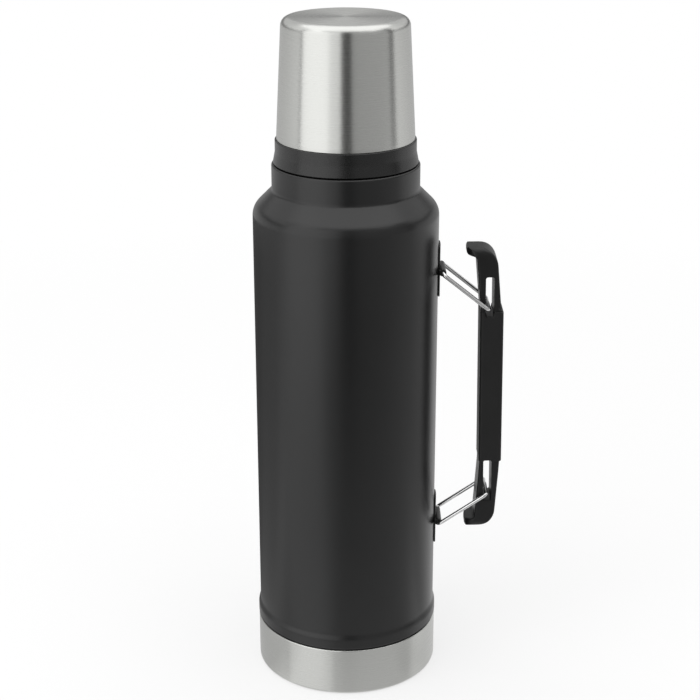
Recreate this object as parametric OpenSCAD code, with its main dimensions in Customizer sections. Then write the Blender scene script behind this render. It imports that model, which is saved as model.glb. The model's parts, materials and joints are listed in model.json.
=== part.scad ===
// Vacuum insulated bottle with a screw-on cup, a screw stopper and a folding side handle.
// Millimetres, +Z up. The bottle's axis is Z, it stands on z = 0 and the handle is on +X.

/* [Body] */
// Outer diameter of the painted body
body_d = 99; // [95:0.5:100]
// Sheet thickness of the outer shell
shell_t = 0.8; // [0.6:0.1:1.2]
// Height where the shoulder meets the neck
shoulder_z = 277.3; // [270:0.1:290]
// Slope of the shoulder's roof above level
shoulder_slope = 45; // [40:1:50]
// Radius of the shoulder's round
shoulder_r = 9.2; // [6:0.2:12]
// Outer diameter of the painted neck
neck_d = 78.4; // [76:0.2:82]
// Radius of the fillet between shoulder and neck
neck_fillet_r = 2.5; // [1.5:0.1:3.5]
// Height of the painted neck above the shoulder
neck_h = 13.7; // [11:0.1:18]

/* [Base] */
// Outer diameter of the steel base cap
base_d = 100.8; // [98:0.1:106]
// Height of the steel base cap
base_h = 27.3; // [22:0.1:34]
// Sheet thickness of the base cap
base_t = 0.8; // [0.6:0.1:1]
// Radius of the base cap's bottom edge
base_edge_r = 1.8; // [1.3:0.1:3]
// Radius of the base cap's top edge
base_rim_r = 0.6; // [0.2:0.1:0.6]
// Radial gap between the base cap and the shell's skirt
skirt_play = 0.2; // [0.1:0.05:0.3]
// Open gap between the base cap's top edge and the painted flare
base_gap = 1.1; // [0.4:0.1:1.5]
// How far the flare above the base cap stands out over the cap's outer face
flare_over = 0.15; // [0:0.05:0.4]
// Height of the flare's straight band
flare_band_h = 5.6; // [4:0.2:8]
// Height over which the flare fades into the body
flare_fade_h = 2.5; // [2:0.5:6]

/* [Vacuum] */
// Sheet thickness of the inner vessel
vessel_t = 0.6; // [0.5:0.1:0.9]
// Vacuum gap between the side walls
vacuum_gap = 4.2; // [3:0.1:6]
// Radius of the inner vessel's bottom corner
vessel_corner_r = 11; // [6:0.5:16]
// Radius of the inner vessel's shoulder
vessel_shoulder_r = 12; // [8:0.5:14]
// Depth of the inner vessel's shoulder below the outer one
shoulder_drop = 7.4; // [6:0.1:9]
// Rise of the inner vessel's roof from its shoulder to its neck
roof_rise = 4; // [2:0.5:6]
// Height of the vacuum plate above the floor
plate_z = 10; // [8:0.5:14]
// Sheet thickness of the vacuum plate
plate_t = 0.8; // [0.6:0.1:1.2]
// Height of the vacuum plate's rim
plate_rim_h = 5; // [3:0.5:6]
// Free height between the vacuum plate and the inner vessel
floor_gap = 7.4; // [5:0.2:12]
// Diameter of the evacuation hole
evacuation_hole_d = 4; // [2:0.5:6]
// Diameter of the evacuation seal's button
evacuation_button_d = 10; // [8:0.5:14]
// Height of the evacuation seal's button
evacuation_button_h = 2; // [1:0.25:4]
// Diameter of the getter pan
getter_d = 18; // [10:1:24]
// Height of the getter pan
getter_h = 3; // [2:0.5:4]
// Distance of the getter from the bottle's axis
getter_offset = 22; // [18:1:28]
// Thickness of the radiation foil
foil_t = 0.3; // [0.2:0.05:0.6]
// Bare length of the vessel left above and below the foil
foil_margin = 24; // [18:1:40]

/* [Mouth] */
// Inner diameter of the mouth at its thread
mouth_d = 52; // [51:0.2:54]
// Inner diameter of the stopper's seat below the thread
seat_d = 48.6; // [47.8:0.1:49.4]
// Height of the seat's cone
seat_cone_h = 3; // [2:0.5:5]
// Height of the mouth's threaded bore
mouth_bore_h = 20; // [18:0.5:22]
// Height of the lip above the painted neck
lip_h = 20; // [18:0.5:22]
// Outer diameter of the threaded neck
thread_neck_d = 66.4; // [65.6:0.2:66.8]
// Height of the threaded neck
thread_neck_h = 13.5; // [13:0.5:15]
// Outer diameter of the lip
lip_d = 63.2; // [62.6:0.2:64]
// Radius of the lip's outer edge
lip_r = 1.4; // [1:0.1:2]

/* [Threads] */
// Lift of the screw threads in one turn
thread_lead = 12; // [10:0.5:16]
// Number of thread starts
thread_starts = 2; // [2:1:3]
// Length of each thread in turns
thread_turns = 0.72; // [0.5:0.02:0.76]
// Height of a thread's ridge
thread_h = 1.1; // [0.9:0.05:1.3]
// Width of a ridge at its foot
thread_foot_w = 2.8; // [2:0.1:3]
// Width of a ridge at its crest
thread_crest_w = 1.3; // [0.8:0.1:1.6]
// Radial gap between a crest and the wall that it runs along
thread_play = 0.5; // [0.4:0.05:0.6]
// Height of the outer thread's start above the painted neck
outer_thread_z = 2.6; // [2:0.1:3.5]
// Height of the inner thread's start above the seat's cone
inner_thread_z = 4; // [3:0.1:6]

/* [Cup] */
// Outer diameter of the steel cup at its rim
cup_rim_d = 72.6; // [72:0.1:73]
// Outer diameter of the steel cup at its closed end
cup_top_d = 66.4; // [66:0.1:69]
// Height of the steel cup
cup_h = 63; // [58:0.5:70]
// Height of the steel cup's straight rim
cup_hem_h = 2; // [1:0.5:4]
// Sheet thickness of the steel cup
cup_t = 0.6; // [0.5:0.1:0.8]
// Radius of the steel cup's closed edge
cup_edge_r = 4.5; // [3:0.5:6]
// Gap between the painted neck and the cup's rim ring
rim_gap = 0.4; // [0.3:0.1:1]
// Height of the rim ring
rim_h = 12.6; // [12:0.1:14]
// Outer diameter of the rim ring
rim_d = 74.4; // [74.2:0.1:76]
// Outer diameter of the rim ring's foot
rim_foot_d = 77; // [76.4:0.1:78]
// Height of the rim ring's foot
rim_foot_h = 6; // [4:0.5:8]
// Wall of the cup's liner
liner_t = 1.4; // [1.1:0.1:1.8]
// Air gap between the steel cup and its liner
cup_air_gap = 1; // [0.7:0.1:1.2]
// Height of the band where the liner grips the steel cup
liner_band_h = 6; // [4:0.5:8]
// Radial gap between the liner's band and the steel cup
liner_play = 0.1; // [0.05:0.05:0.15]
// Thickness of the foam disc in the cup's closed end
cup_foam_t = 2.8; // [2:0.2:5]
// Diameter of the foam disc in the cup's closed end
cup_foam_d = 54; // [40:1:56]

/* [Stopper] */
// Gap left around each foam core
foam_play = 0.35; // [0.3:0.05:0.6]
// Thickness of the gasket under the stopper's flange
gasket_t = 1.5; // [1:0.1:2.5]
// Inner diameter of the flange gasket
gasket_bore_d = 54; // [53.4:0.2:55]
// Diameter of the stopper's flange
flange_d = 61; // [60.4:0.1:61.6]
// Height of the stopper's flange
flange_h = 4; // [3:0.5:6]
// Wall of the stopper's plug
plug_t = 2.9; // [2.4:0.1:3.4]
// Thickness of the plug's floor
plug_floor_t = 2.5; // [2:0.1:4]
// Height of the hollow boss under the plug
boss_h = 8; // [7.2:0.2:9]
// Radial gap between the boss and the seat
boss_play = 2.5; // [2:0.1:3]
// Wall of the boss
boss_t = 4.3; // [3.8:0.1:5]
// Height of the seal ring on the boss
seal_h = 4; // [3:0.2:5]
// Depth of the seal ring's groove
seal_groove = 1.5; // [1:0.1:2]
// Radial gap between the seal ring and the seat
seal_play = 0.35; // [0.3:0.05:0.5]
// Width of the pour channels down the plug
channel_w = 12; // [8:0.5:16]
// Depth of the pour channels
channel_depth = 1.3; // [0.8:0.1:1.6]
// Diameter of the knob
knob_d = 53; // [52:0.2:56]
// Height of the knob
knob_h = 23.5; // [18:0.5:28]
// Wall of the knob
knob_t = 2; // [1.8:0.1:2.2]
// Radius of the knob's top edge
knob_edge_r = 3; // [2.2:0.2:4]
// Height of the ring that centres the knob
spigot_h = 2.5; // [1.5:0.5:4]
// Wall of the ring that centres the knob
spigot_t = 2.3; // [1.6:0.1:2.4]
// Gap between the centring ring and the knob
spigot_play = 0.1; // [0.05:0.05:0.2]
// Number of finger grooves around the knob
knob_grooves = 14; // [8:1:20]
// Radius of a finger groove
groove_r = 3; // [2:0.25:4]
// Depth of a finger groove
groove_depth = 1; // [0.6:0.1:1.2]
// Height of the plain band below the finger grooves
groove_band_h = 3; // [2:0.5:5]

/* [Handle brackets] */
// Height of the middle of the two brackets
bracket_mid_z = 159; // [150:0.5:168]
// Distance between the bail pivots
pivot_span = 146.8; // [140:0.2:152]
// Distance of a pivot from the body
pivot_out = 2.1; // [2.1:0.1:3]
// Outer diameter of a bracket's knuckle
knuckle_d = 3.8; // [3.6:0.1:4]
// Length of a bracket's knuckle
knuckle_l = 17; // [14:0.5:17.6]
// Height of a bracket's strap
strap_h = 29.5; // [24:0.5:34]
// Width of a bracket's strap
strap_w = 12; // [10:0.5:16]
// Thickness of a bracket's strap
strap_t = 1; // [0.8:0.1:1.3]
// Corner radius of a bracket's strap
strap_corner_r = 3; // [1:0.5:5]

/* [Bails] */
// Diameter of the bail wire
wire_d = 2.2; // [2:0.1:2.4]
// Radial running gap of the wire in a knuckle
pivot_play = 0.05; // [0.03:0.01:0.1]
// Length of wire from pivot to end bar
bail_l = 32.1; // [31:0.1:33]
// Slope of the upper bail below level
upper_bail_angle = 38.8; // [37:0.1:40]
// Slope of the lower bail above level
lower_bail_angle = 34.7; // [33:0.1:36]
// Distance between a bail's two legs
leg_span = 22; // [21.8:0.1:24]
// Bend radius of the wire
bend_r = 1.9; // [1.6:0.1:2.1]
// Length of wire inside each end of a knuckle
pin_l = 6; // [4:0.5:6.5]

/* [Grip] */
// How far the grip's middle lies above the middle between the bails' end bars
grip_lift = 6.2; // [5.8:0.1:6.6]
// Length of the grip beyond each slot
grip_end_l = 16.3; // [15:0.1:18]
// Width of the grip's frame
frame_w = 17.2; // [16:0.2:17.6]
// Depth of the frame from the slot's middle towards the bottle
frame_in = 4.5; // [4.2:0.1:5]
// Depth of the frame from the slot's middle away from the bottle
frame_out = 6.6; // [6:0.1:7.5]
// Lean of the grip's ends towards the bottle
end_lean = 4.4; // [2:0.2:5]
// Length of the frame's straight middle
frame_straight_l = 84; // [78:1:90]
// Reach of the hooks from the slot's middle
hook_reach = 12.5; // [12:0.1:13]
// Thickness of a hook at its tip
hook_t = 4.2; // [3.6:0.1:4.4]
// Extra thickness of a hook at its root
hook_root_t = 1.1; // [0.6:0.1:2]
// Radius of a hook's back
hook_back_r = 11; // [5:0.5:12]
// Radius of a hook's tip
hook_tip_r = 1.6; // [1:0.1:1.7]
// Radius of a hook's corners seen from above
hook_plan_r = 6; // [3:0.5:8]
// Radius of the grip's ends seen from outside
grip_end_r = 4; // [2:0.5:6]
// Width of the slots for the bails
slot_w = 4.6; // [4.4:0.1:5]
// Gap between a bail's end bar and its slot's inner wall
slot_play = 0.6; // [0.5:0.05:0.8]
// Room in the upper slot from the end bar to the near end
slot_near_room = 4.6; // [4.6:0.1:5.4]
// Room in the lower slot from the end bar to the near end
slot_travel = 19.5; // [18.8:0.1:20]
// Room in the lower slot from the end bar to the far end
slot_far_room = 5.2; // [4.6:0.1:7]
// How far the soft sleeve reaches past the upper slot's near end
sleeve_over = 2.7; // [1:0.1:3]
// How far the soft sleeve reaches past the lower slot's near end
sleeve_foot_over = 0.4; // [0.3:0.1:2]
// Thickness of the soft sleeve
sleeve_t = 0.6; // [0.55:0.05:0.8]
// Extra thickness of the sleeve on its outer face
sleeve_swell = 0.3; // [0:0.05:0.6]
// Corner radius of the soft sleeve
sleeve_corner_r = 1.2; // [0.6:0.1:1.3]

/* [Hidden] */

$fn = 96;
wire_facets = 32;
arc_step = 12;
thread_step = 10;
overlap = 0.2;
cut_extra = 1;
least_fillet = 0.05;
least_bend_r = 0.2;

paint_black = "#1d1d1e";
steel = "#c4c5c4";
bright_steel = "#d8d9da";
copper = "#b87a55";
glass_green = "#5d7f70";
getter_grey = "#8b8b86";
plastic_black = "#19191a";
rubber_black = "#242425";
silicone_grey = "#9a9a98";
foam_white = "#e9e6dc";

body_r = body_d / 2;
neck_r = neck_d / 2;
neck_top_z = shoulder_z + neck_h;
shoulder_corner_z = shoulder_z - (body_r - neck_r) * tan(shoulder_slope);
neck_edge_r = shell_t + least_bend_r;

base_r = base_d / 2;
skirt_r = base_r - base_t - skirt_play;
skirt_z = base_edge_r + skirt_play;
flare_z = base_h + base_gap;
flare_r = base_r + flare_over;
flare_roll_r = (flare_r - skirt_r) / 2;
flare_soft_r = 5;
flare_turn = max(1, atan(abs(flare_r - body_r) / flare_fade_h));
flare_room = min(flare_band_h - flare_roll_r, flare_fade_h / 2);
flare_fade_r = min(flare_soft_r, flare_room / tan(flare_turn / 2));

plate_r = skirt_r - shell_t;
plate_bend_r = plate_t + 5 * least_bend_r;
vessel_floor_z = plate_z + floor_gap + vessel_t;
vessel_r = min(body_r, skirt_r) - shell_t - vacuum_gap - vessel_t;
vessel_shoulder_z = shoulder_z - shoulder_drop;
mouth_r = mouth_d / 2;
seat_r = seat_d / 2;
lip_z = neck_top_z + lip_h;
mouth_bore_z = lip_z - mouth_bore_h;
seat_z = mouth_bore_z - seat_cone_h;
seat_fillet_r = 4;

thread_neck_r = thread_neck_d / 2;
lip_outer_r = lip_d / 2;
thread_pitch = thread_lead / thread_starts;
thread_fade = 24;
thread_least_fade = 0.3;

liner_thread_r = thread_neck_r + thread_h + thread_play;
rim_z = neck_top_z + rim_gap;
rim_top_z = rim_z + rim_h;
rim_edge_r = 0.6;
cup_top_z = rim_top_z + cup_h;
cup_taper_z = rim_top_z + cup_hem_h;
cup_taper = (cup_rim_d - cup_top_d) / 2 / (cup_top_z - cup_taper_z);
liner_top_z = cup_top_z - cup_t - cup_foam_t - 2 * foam_play;
liner_band_z = rim_top_z + liner_band_h;
liner_step_h = 1;
liner_corner_r = 3;

plug_r = mouth_r - thread_h - thread_play;
flange_z = lip_z + gasket_t;
knob_z = flange_z + flange_h;
knob_top_z = knob_z + knob_h;
plug_floor_z = mouth_bore_z - plug_floor_t / 2;
core_r = plug_r - plug_t;
boss_r = seat_r - boss_play;
boss_z = plug_floor_z - boss_h;
seal_z = plug_floor_z - plug_floor_t / 2 - seal_h;
spigot_r = core_r + spigot_t;
knob_bore_r = spigot_r + spigot_play;
stopper_edge_r = 0.6;
flange_edge_r = 0.8;

pivot_x = body_r + pivot_out;
upper_pivot_z = bracket_mid_z + pivot_span / 2;
lower_pivot_z = bracket_mid_z - pivot_span / 2;
knuckle_web_h = 2.8;
knuckle_web_in = 0.3;

wire_r = wire_d / 2;
leg_y = leg_span / 2;
upper_end = [pivot_x + bail_l * cos(upper_bail_angle), upper_pivot_z - bail_l * sin(upper_bail_angle)];
lower_end = [pivot_x + bail_l * cos(lower_bail_angle), lower_pivot_z + bail_l * sin(lower_bail_angle)];
end_span = norm(upper_end - lower_end);

// The grip lies along the line through both end bars, and its places are measured from its middle
grip_tilt = asin((lower_end[0] - upper_end[0]) / end_span);
grip_along = [-sin(grip_tilt), cos(grip_tilt)];
grip_out = [cos(grip_tilt), sin(grip_tilt)];
slot_offset = slot_w / 2 - wire_r - slot_play;
grip_middle = (upper_end + lower_end) / 2 + grip_lift * grip_along + slot_offset * grip_out;
upper_near = end_span / 2 - grip_lift - slot_near_room;
lower_near = end_span / 2 + grip_lift - slot_travel;
slot_far = end_span / 2 + grip_lift + slot_far_room;
slot_corner_r = 1.2;
grip_l = 2 * (slot_far + grip_end_l);
sleeve_top = upper_near + sleeve_over;
sleeve_foot = lower_near + sleeve_foot_over;
frame_bend_r = 150;
hook_inner_r = 2.5;

// Direction and length helpers for outlines
function unit(v) = v / norm(v);
function flat(p) = [p[0], p[1]];
function left_of(v) = [-v[1], v[0]];
function turn_of(u, v) = u[0] * v[1] - u[1] * v[0];
function fillet_of(p) = len(p) > 2 ? p[2] : 0;
function joined(lists) = [for (list = lists) each list];
function backwards(list) = [for (i = [len(list) - 1:-1:0]) list[i]];

// Points of the arc of radius r that rounds the corner b between a and c
function corner_arc(a, b, c, r) =
    let (
        u = unit(a - b),
        v = unit(c - b),
        half = acos(max(-1, min(1, u * v))) / 2,
        reach = r / tan(half),
        centre = b + unit(u + v) * r / sin(half),
        from = b + u * reach - centre,
        to = b + v * reach - centre,
        start = atan2(from[1], from[0]),
        sweep = atan2(turn_of(from, to), from * to),
        steps = max(1, ceil(abs(sweep) / arc_step))
    )
    [for (i = [0:steps]) centre + r * [cos(start + sweep * i / steps), sin(start + sweep * i / steps)]];

// An open path of [r, z, fillet] corners as plain points, with its fillets as arcs
function rounded_path(path) =
    let (last = len(path) - 1)
    joined([for (i = [0:last])
        let (p = path[i])
        (i == 0 || i == last || fillet_of(p) <= 0) ? [flat(p)]
            : corner_arc(flat(path[i - 1]), flat(p), flat(path[i + 1]), fillet_of(p))]);

// A closed outline of [x, y, fillet] corners as plain points
function rounded_outline(corners) =
    let (count = len(corners))
    joined([for (i = [0:count - 1])
        let (p = corners[i], before = corners[(i + count - 1) % count], after = corners[(i + 1) % count])
        fillet_of(p) <= 0 ? [flat(p)] : corner_arc(flat(before), flat(p), flat(after), fillet_of(p))]);

// The path moved to its left by t, with each fillet following its corner
function moved_path(path, t) =
    let (last = len(path) - 1)
    [for (i = [0:last])
        let (
            p = flat(path[i]),
            along_in = unit(p - flat(path[max(i - 1, 0)])),
            along_out = unit(flat(path[min(i + 1, last)]) - p),
            first = left_of(i == 0 ? along_out : along_in),
            second = left_of(i == last ? along_in : along_out),
            corner = p + t * (first + second) / (1 + first * second),
            side = sign(turn_of(second, first)),
            r = fillet_of(path[i])
        )
        [corner[0], corner[1], r > 0 ? max(least_fillet, r + side * t) : 0]];

// Outline of a sheet of thickness t that lies on the left of a path
function sheet_outline(path, t) =
    concat(rounded_path(path), backwards(rounded_path(moved_path(path, t))));

module lathe(outline) {
    rotate_extrude() polygon(outline);
}

// Rounded rectangle around the origin
module rounded_rectangle(width, height, r) {
    polygon(rounded_outline([
        [-width / 2, -height / 2, r], [width / 2, -height / 2, r],
        [width / 2, height / 2, r], [-width / 2, height / 2, r]]));
}

// Thread ridges that run up a wall of radius foot_r to a crest at crest_r
function ridge_fade(a) =
    max(thread_least_fade, min(1, a / thread_fade, (thread_turns * 360 - a) / thread_fade));
function ridge_section(a, foot_r, crest_r, z) =
    let (
        r = foot_r + (crest_r - foot_r) * ridge_fade(a),
        height = z + thread_lead * a / 360,
        corners = [[foot_r, -thread_foot_w / 2], [r, -thread_crest_w / 2],
            [r, thread_crest_w / 2], [foot_r, thread_foot_w / 2]]
    )
    [for (c = corners) [c[0] * cos(a), c[0] * sin(a), height + c[1]]];
function ridge_faces(count) = joined(concat(
    [[[2, 1, 0], [3, 2, 0]]],
    [for (i = [0:count - 2], k = [0:3])
        let (a = 4 * i, b = 4 * (i + 1), next = (k + 1) % 4)
        [[a + k, a + next, b + next], [a + k, b + next, b + k]]],
    [let (e = 4 * (count - 1)) [[e, e + 1, e + 2], [e, e + 2, e + 3]]]));

module thread_ridges(wall_r, crest_r, z) {
    foot = crest_r > wall_r ? wall_r - overlap : (wall_r + overlap) / cos(thread_step / 2);
    steps = ceil(thread_turns * 360 / thread_step);
    angles = [for (i = [0:steps]) thread_turns * 360 * i / steps];
    points = joined([for (a = angles) ridge_section(a, foot, crest_r, z)]);
    faces = ridge_faces(len(angles));
    for (s = [0:thread_starts - 1])
        rotate(360 * s / thread_starts)
            polyhedron(points, crest_r > wall_r ? faces : [for (f = faces) backwards(f)]);
}

// Painted outer shell with its flare, shoulder, neck and threaded mouth
function shell_path() = [
    [skirt_r, skirt_z],
    [skirt_r, flare_z],
    [flare_r, flare_z, flare_roll_r],
    [flare_r, flare_z + flare_band_h, flare_fade_r],
    [body_r, flare_z + flare_band_h + flare_fade_h, flare_fade_r],
    [body_r, shoulder_corner_z, shoulder_r],
    [neck_r, shoulder_z, neck_fillet_r],
    [neck_r, neck_top_z, neck_edge_r],
    [thread_neck_r, neck_top_z],
    [thread_neck_r, neck_top_z + thread_neck_h],
    [lip_outer_r, neck_top_z + thread_neck_h + (thread_neck_r - lip_outer_r)],
    [lip_outer_r, lip_z, lip_r],
    [mouth_r + vessel_t, lip_z]];

module outer_shell() {
    color(paint_black) {
        lathe(sheet_outline(shell_path(), shell_t));
        thread_ridges(thread_neck_r, thread_neck_r + thread_h, neck_top_z + outer_thread_z);
    }
}

// Steel vessel that holds the drink, from the floor's middle to the lip
function vessel_path() = [
    [0, vessel_floor_z],
    [vessel_r, vessel_floor_z, vessel_corner_r],
    [vessel_r, vessel_shoulder_z, vessel_shoulder_r],
    [seat_r, vessel_shoulder_z + roof_rise, seat_fillet_r],
    [seat_r, seat_z],
    [mouth_r, mouth_bore_z],
    [mouth_r, lip_z]];

module inner_vessel() {
    color(steel) {
        lathe(sheet_outline(vessel_path(), -vessel_t));
        thread_ridges(mouth_r, mouth_r - thread_h, mouth_bore_z + inner_thread_z);
    }
}

// Thin foil around the inner vessel that holds heat radiation back
module radiation_foil() {
    foil_z = vessel_floor_z + foil_margin;
    foil_h = vessel_shoulder_z - foil_margin - foil_z;
    color(copper) translate([0, 0, foil_z]) difference() {
        cylinder(r = vessel_r + vessel_t + foil_t, h = foil_h);
        translate([0, 0, -cut_extra]) cylinder(r = vessel_r + vessel_t, h = foil_h + 2 * cut_extra);
    }
}

// Plate that closes the vacuum space, welded inside the shell's skirt
module vacuum_plate() {
    path = [
        [plate_r, plate_z - plate_rim_h],
        [plate_r, plate_z, plate_bend_r],
        [evacuation_hole_d / 2, plate_z]];
    color(steel) lathe(sheet_outline(path, plate_t));
}

// Button that plugs the hole where the air was drawn out
module evacuation_seal() {
    button_r = evacuation_button_d / 2;
    hole_r = evacuation_hole_d / 2;
    under_z = plate_z - plate_t;
    color(glass_green) lathe(rounded_path([
        [0, under_z - evacuation_button_h],
        [button_r, under_z - evacuation_button_h, evacuation_button_h / 2],
        [button_r, under_z],
        [hole_r, under_z],
        [hole_r, plate_z],
        [0, plate_z]]));
}

// Pan of getter powder that keeps the vacuum clean
module getter() {
    color(getter_grey) translate([getter_offset, 0, plate_z]) lathe(rounded_path([
        [0, 0],
        [getter_d / 2, 0],
        [getter_d / 2 - getter_h / 2, getter_h, getter_h / 4],
        [0, getter_h]]));
}

// Steel cap over the bottle's foot
module base_cap() {
    path = [[0, 0], [base_r, 0, base_edge_r], [base_r, base_h]];
    rim = [base_r, base_h, min(base_rim_r, base_t - least_fillet)];
    color(steel) lathe(rounded_path(concat([path[0], path[1], rim], backwards(moved_path(path, base_t)))));
}

// Strap welded to the body, with the knuckle that a bail turns in
module bracket(z) {
    outer_r = body_r + strap_t;
    translate([0, 0, z]) difference() {
        union() {
            intersection() {
                difference() {
                    cylinder(r = outer_r, h = strap_h, center = true);
                    cylinder(r = body_r, h = strap_h + 2 * cut_extra, center = true);
                }
                rotate([90, 0, 90]) linear_extrude(outer_r + cut_extra)
                    rounded_rectangle(strap_w, strap_h, strap_corner_r);
            }
            translate([pivot_x, 0, 0]) rotate([90, 0, 0])
                cylinder(d = knuckle_d, h = knuckle_l, center = true, $fn = wire_facets);
            translate([body_r + knuckle_web_in, -knuckle_l / 2, -knuckle_web_h / 2])
                cube([pivot_out - knuckle_web_in, knuckle_l, knuckle_web_h]);
        }
        translate([pivot_x, 0, 0]) rotate([90, 0, 0])
            cylinder(
                r = wire_r + pivot_play, h = knuckle_l + 2 * cut_extra, center = true, $fn = wire_facets
            );
    }
}

module upper_bracket() {
    color(plastic_black) bracket(upper_pivot_z);
}

module lower_bracket() {
    color(plastic_black) bracket(lower_pivot_z);
}

// One side of a bail along +X: pin, bend, leg, bend
module bail_side() {
    bend_y = leg_y - bend_r;
    pin_y = knuckle_l / 2 - pin_l;
    translate([0, pin_y, 0]) rotate([-90, 0, 0])
        cylinder(r = wire_r, h = bend_y - pin_y, $fn = wire_facets);
    translate([bend_r, bend_y, 0]) rotate(90) wire_bend();
    translate([bend_r, leg_y, 0]) rotate([0, 90, 0])
        cylinder(r = wire_r, h = bail_l - 2 * bend_r, $fn = wire_facets);
    translate([bail_l - bend_r, bend_y, 0]) wire_bend();
}

module wire_bend() {
    rotate_extrude(angle = 90) translate([bend_r, 0]) circle(r = wire_r, $fn = wire_facets);
}

// Wire bail whose ends turn inward into a knuckle, and whose end bar runs in a grip slot
module bail() {
    bend_y = leg_y - bend_r;
    bail_side();
    mirror([0, 1, 0]) bail_side();
    translate([bail_l, -bend_y, 0]) rotate([-90, 0, 0])
        cylinder(r = wire_r, h = 2 * bend_y, $fn = wire_facets);
}

module upper_bail() {
    color(bright_steel) translate([pivot_x, 0, upper_pivot_z]) rotate([0, upper_bail_angle, 0]) bail();
}

module lower_bail() {
    color(bright_steel) translate([pivot_x, 0, lower_pivot_z]) rotate([0, -lower_bail_angle, 0]) bail();
}

// Upper half of the grip's side outline, from the slots' middle line
function lean_in(z) = (z - frame_straight_l / 2) * tan(end_lean);
function grip_half() =
    let (top = grip_l / 2, tip_under = top - hook_t, root = tip_under - hook_root_t)
    [[frame_out, frame_straight_l / 2, frame_bend_r],
     [frame_out - lean_in(top), top, hook_back_r],
     [-hook_reach, top, hook_tip_r],
     [-hook_reach, tip_under, hook_tip_r],
     [-frame_in - lean_in(root), root, hook_inner_r],
     [-frame_in, frame_straight_l / 2, frame_bend_r]];

module grip_outline() {
    half = grip_half();
    polygon(rounded_outline(concat(half, [for (p = backwards(half)) [p[0], -p[1], p[2]]])));
}

// Grip seen from above, with its hooks' corners rounded
module grip_plan() {
    polygon(rounded_outline([
        [-hook_reach, -frame_w / 2, hook_plan_r], [2 * hook_reach, -frame_w / 2],
        [2 * hook_reach, frame_w / 2], [-hook_reach, frame_w / 2, hook_plan_r]]));
}

// Moves what is drawn around the grip's middle to its place
module at_grip() {
    translate([grip_middle[0], 0, grip_middle[1]]) rotate([0, -grip_tilt, 0]) children();
}

// The two slots that the bails' end bars run in, as a solid to cut away
module grip_slots() {
    for (slot = [[upper_near, slot_far], [-slot_far, -lower_near]])
        translate([0, 0, (slot[0] + slot[1]) / 2]) rotate([90, 0, 0])
            linear_extrude(frame_w + 4 * sleeve_t, center = true)
                rounded_rectangle(slot_w, slot[1] - slot[0], slot_corner_r);
}

module frame_solid() {
    intersection() {
        rotate([90, 0, 0]) linear_extrude(frame_w, center = true) grip_outline();
        translate([-2 * hook_reach, 0, 0]) rotate([90, 0, 90])
            linear_extrude(4 * hook_reach) rounded_rectangle(frame_w, grip_l, grip_end_r);
        linear_extrude(2 * grip_l, center = true) grip_plan();
    }
}

// Moulded frame of the grip, with a hook at each end
module handle_frame() {
    color(plastic_black) at_grip() difference() {
        frame_solid();
        grip_slots();
    }
}

// Soft sleeve moulded around the middle of the frame
module grip_sleeve() {
    depth = frame_in + frame_out + 2 * sleeve_t + sleeve_swell;
    middle_x = (frame_out - frame_in + sleeve_swell) / 2;
    color(rubber_black) at_grip() difference() {
        translate([middle_x, 0, -sleeve_foot]) linear_extrude(sleeve_foot + sleeve_top)
            rounded_rectangle(depth, frame_w + 2 * sleeve_t, sleeve_corner_r);
        frame_solid();
        grip_slots();
    }
}

// Foam core of the stopper
module stopper_foam() {
    foam_z = plug_floor_z + foam_play;
    color(foam_white) translate([0, 0, foam_z])
        cylinder(r = core_r - foam_play, h = knob_top_z - knob_t - foam_play - foam_z);
}

// Threaded plug of the stopper, with its flange and pour channels
module stopper_body() {
    boss_in_r = boss_r - boss_t;
    boss_roof_z = plug_floor_z - plug_floor_t;
    groove_foot_r = boss_r - seal_groove;
    outline = rounded_path([
        [0, boss_roof_z],
        [boss_in_r, boss_roof_z],
        [boss_in_r, boss_z],
        [boss_r, boss_z, stopper_edge_r],
        [boss_r, seal_z],
        [groove_foot_r, seal_z],
        [groove_foot_r, seal_z + seal_h],
        [boss_r, seal_z + seal_h],
        [plug_r, mouth_bore_z + inner_thread_z - thread_foot_w],
        [plug_r, flange_z],
        [flange_d / 2, flange_z, stopper_edge_r],
        [flange_d / 2, knob_z, flange_edge_r],
        [spigot_r, knob_z],
        [spigot_r, knob_z + spigot_h],
        [core_r, knob_z + spigot_h],
        [core_r, plug_floor_z],
        [0, plug_floor_z]]);
    color(plastic_black) difference() {
        union() {
            lathe(outline);
            rotate(180 * thread_pitch / thread_lead)
                thread_ridges(plug_r, plug_r + thread_h, mouth_bore_z + inner_thread_z);
        }
        for (side = [0, 180]) rotate(side)
            translate([plug_r - channel_depth, -channel_w / 2, seal_z + seal_h])
                cube([channel_depth + thread_h + cut_extra, channel_w, flange_z - seal_z - seal_h]);
    }
}

// Knob that closes the stopper and turns it
module stopper_knob() {
    groove_x = knob_d / 2 + groove_r - groove_depth;
    color(plastic_black) difference() {
        lathe(rounded_path([
            [knob_bore_r, knob_z],
            [knob_d / 2, knob_z, stopper_edge_r],
            [knob_d / 2, knob_top_z, knob_edge_r],
            [0, knob_top_z],
            [0, knob_top_z - knob_t],
            [knob_bore_r, knob_top_z - knob_t, knob_edge_r]]));
        for (i = [0:knob_grooves - 1]) rotate(360 * i / knob_grooves)
            translate([groove_x, 0, knob_z + groove_band_h])
                cylinder(r = groove_r, h = knob_h, $fn = wire_facets);
    }
}

// Flat gasket between the stopper's flange and the lip
module stopper_gasket() {
    color(silicone_grey) translate([0, 0, lip_z]) difference() {
        cylinder(r = lip_outer_r - lip_r, h = gasket_t);
        translate([0, 0, -cut_extra]) cylinder(d = gasket_bore_d, h = gasket_t + 2 * cut_extra);
    }
}

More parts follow.
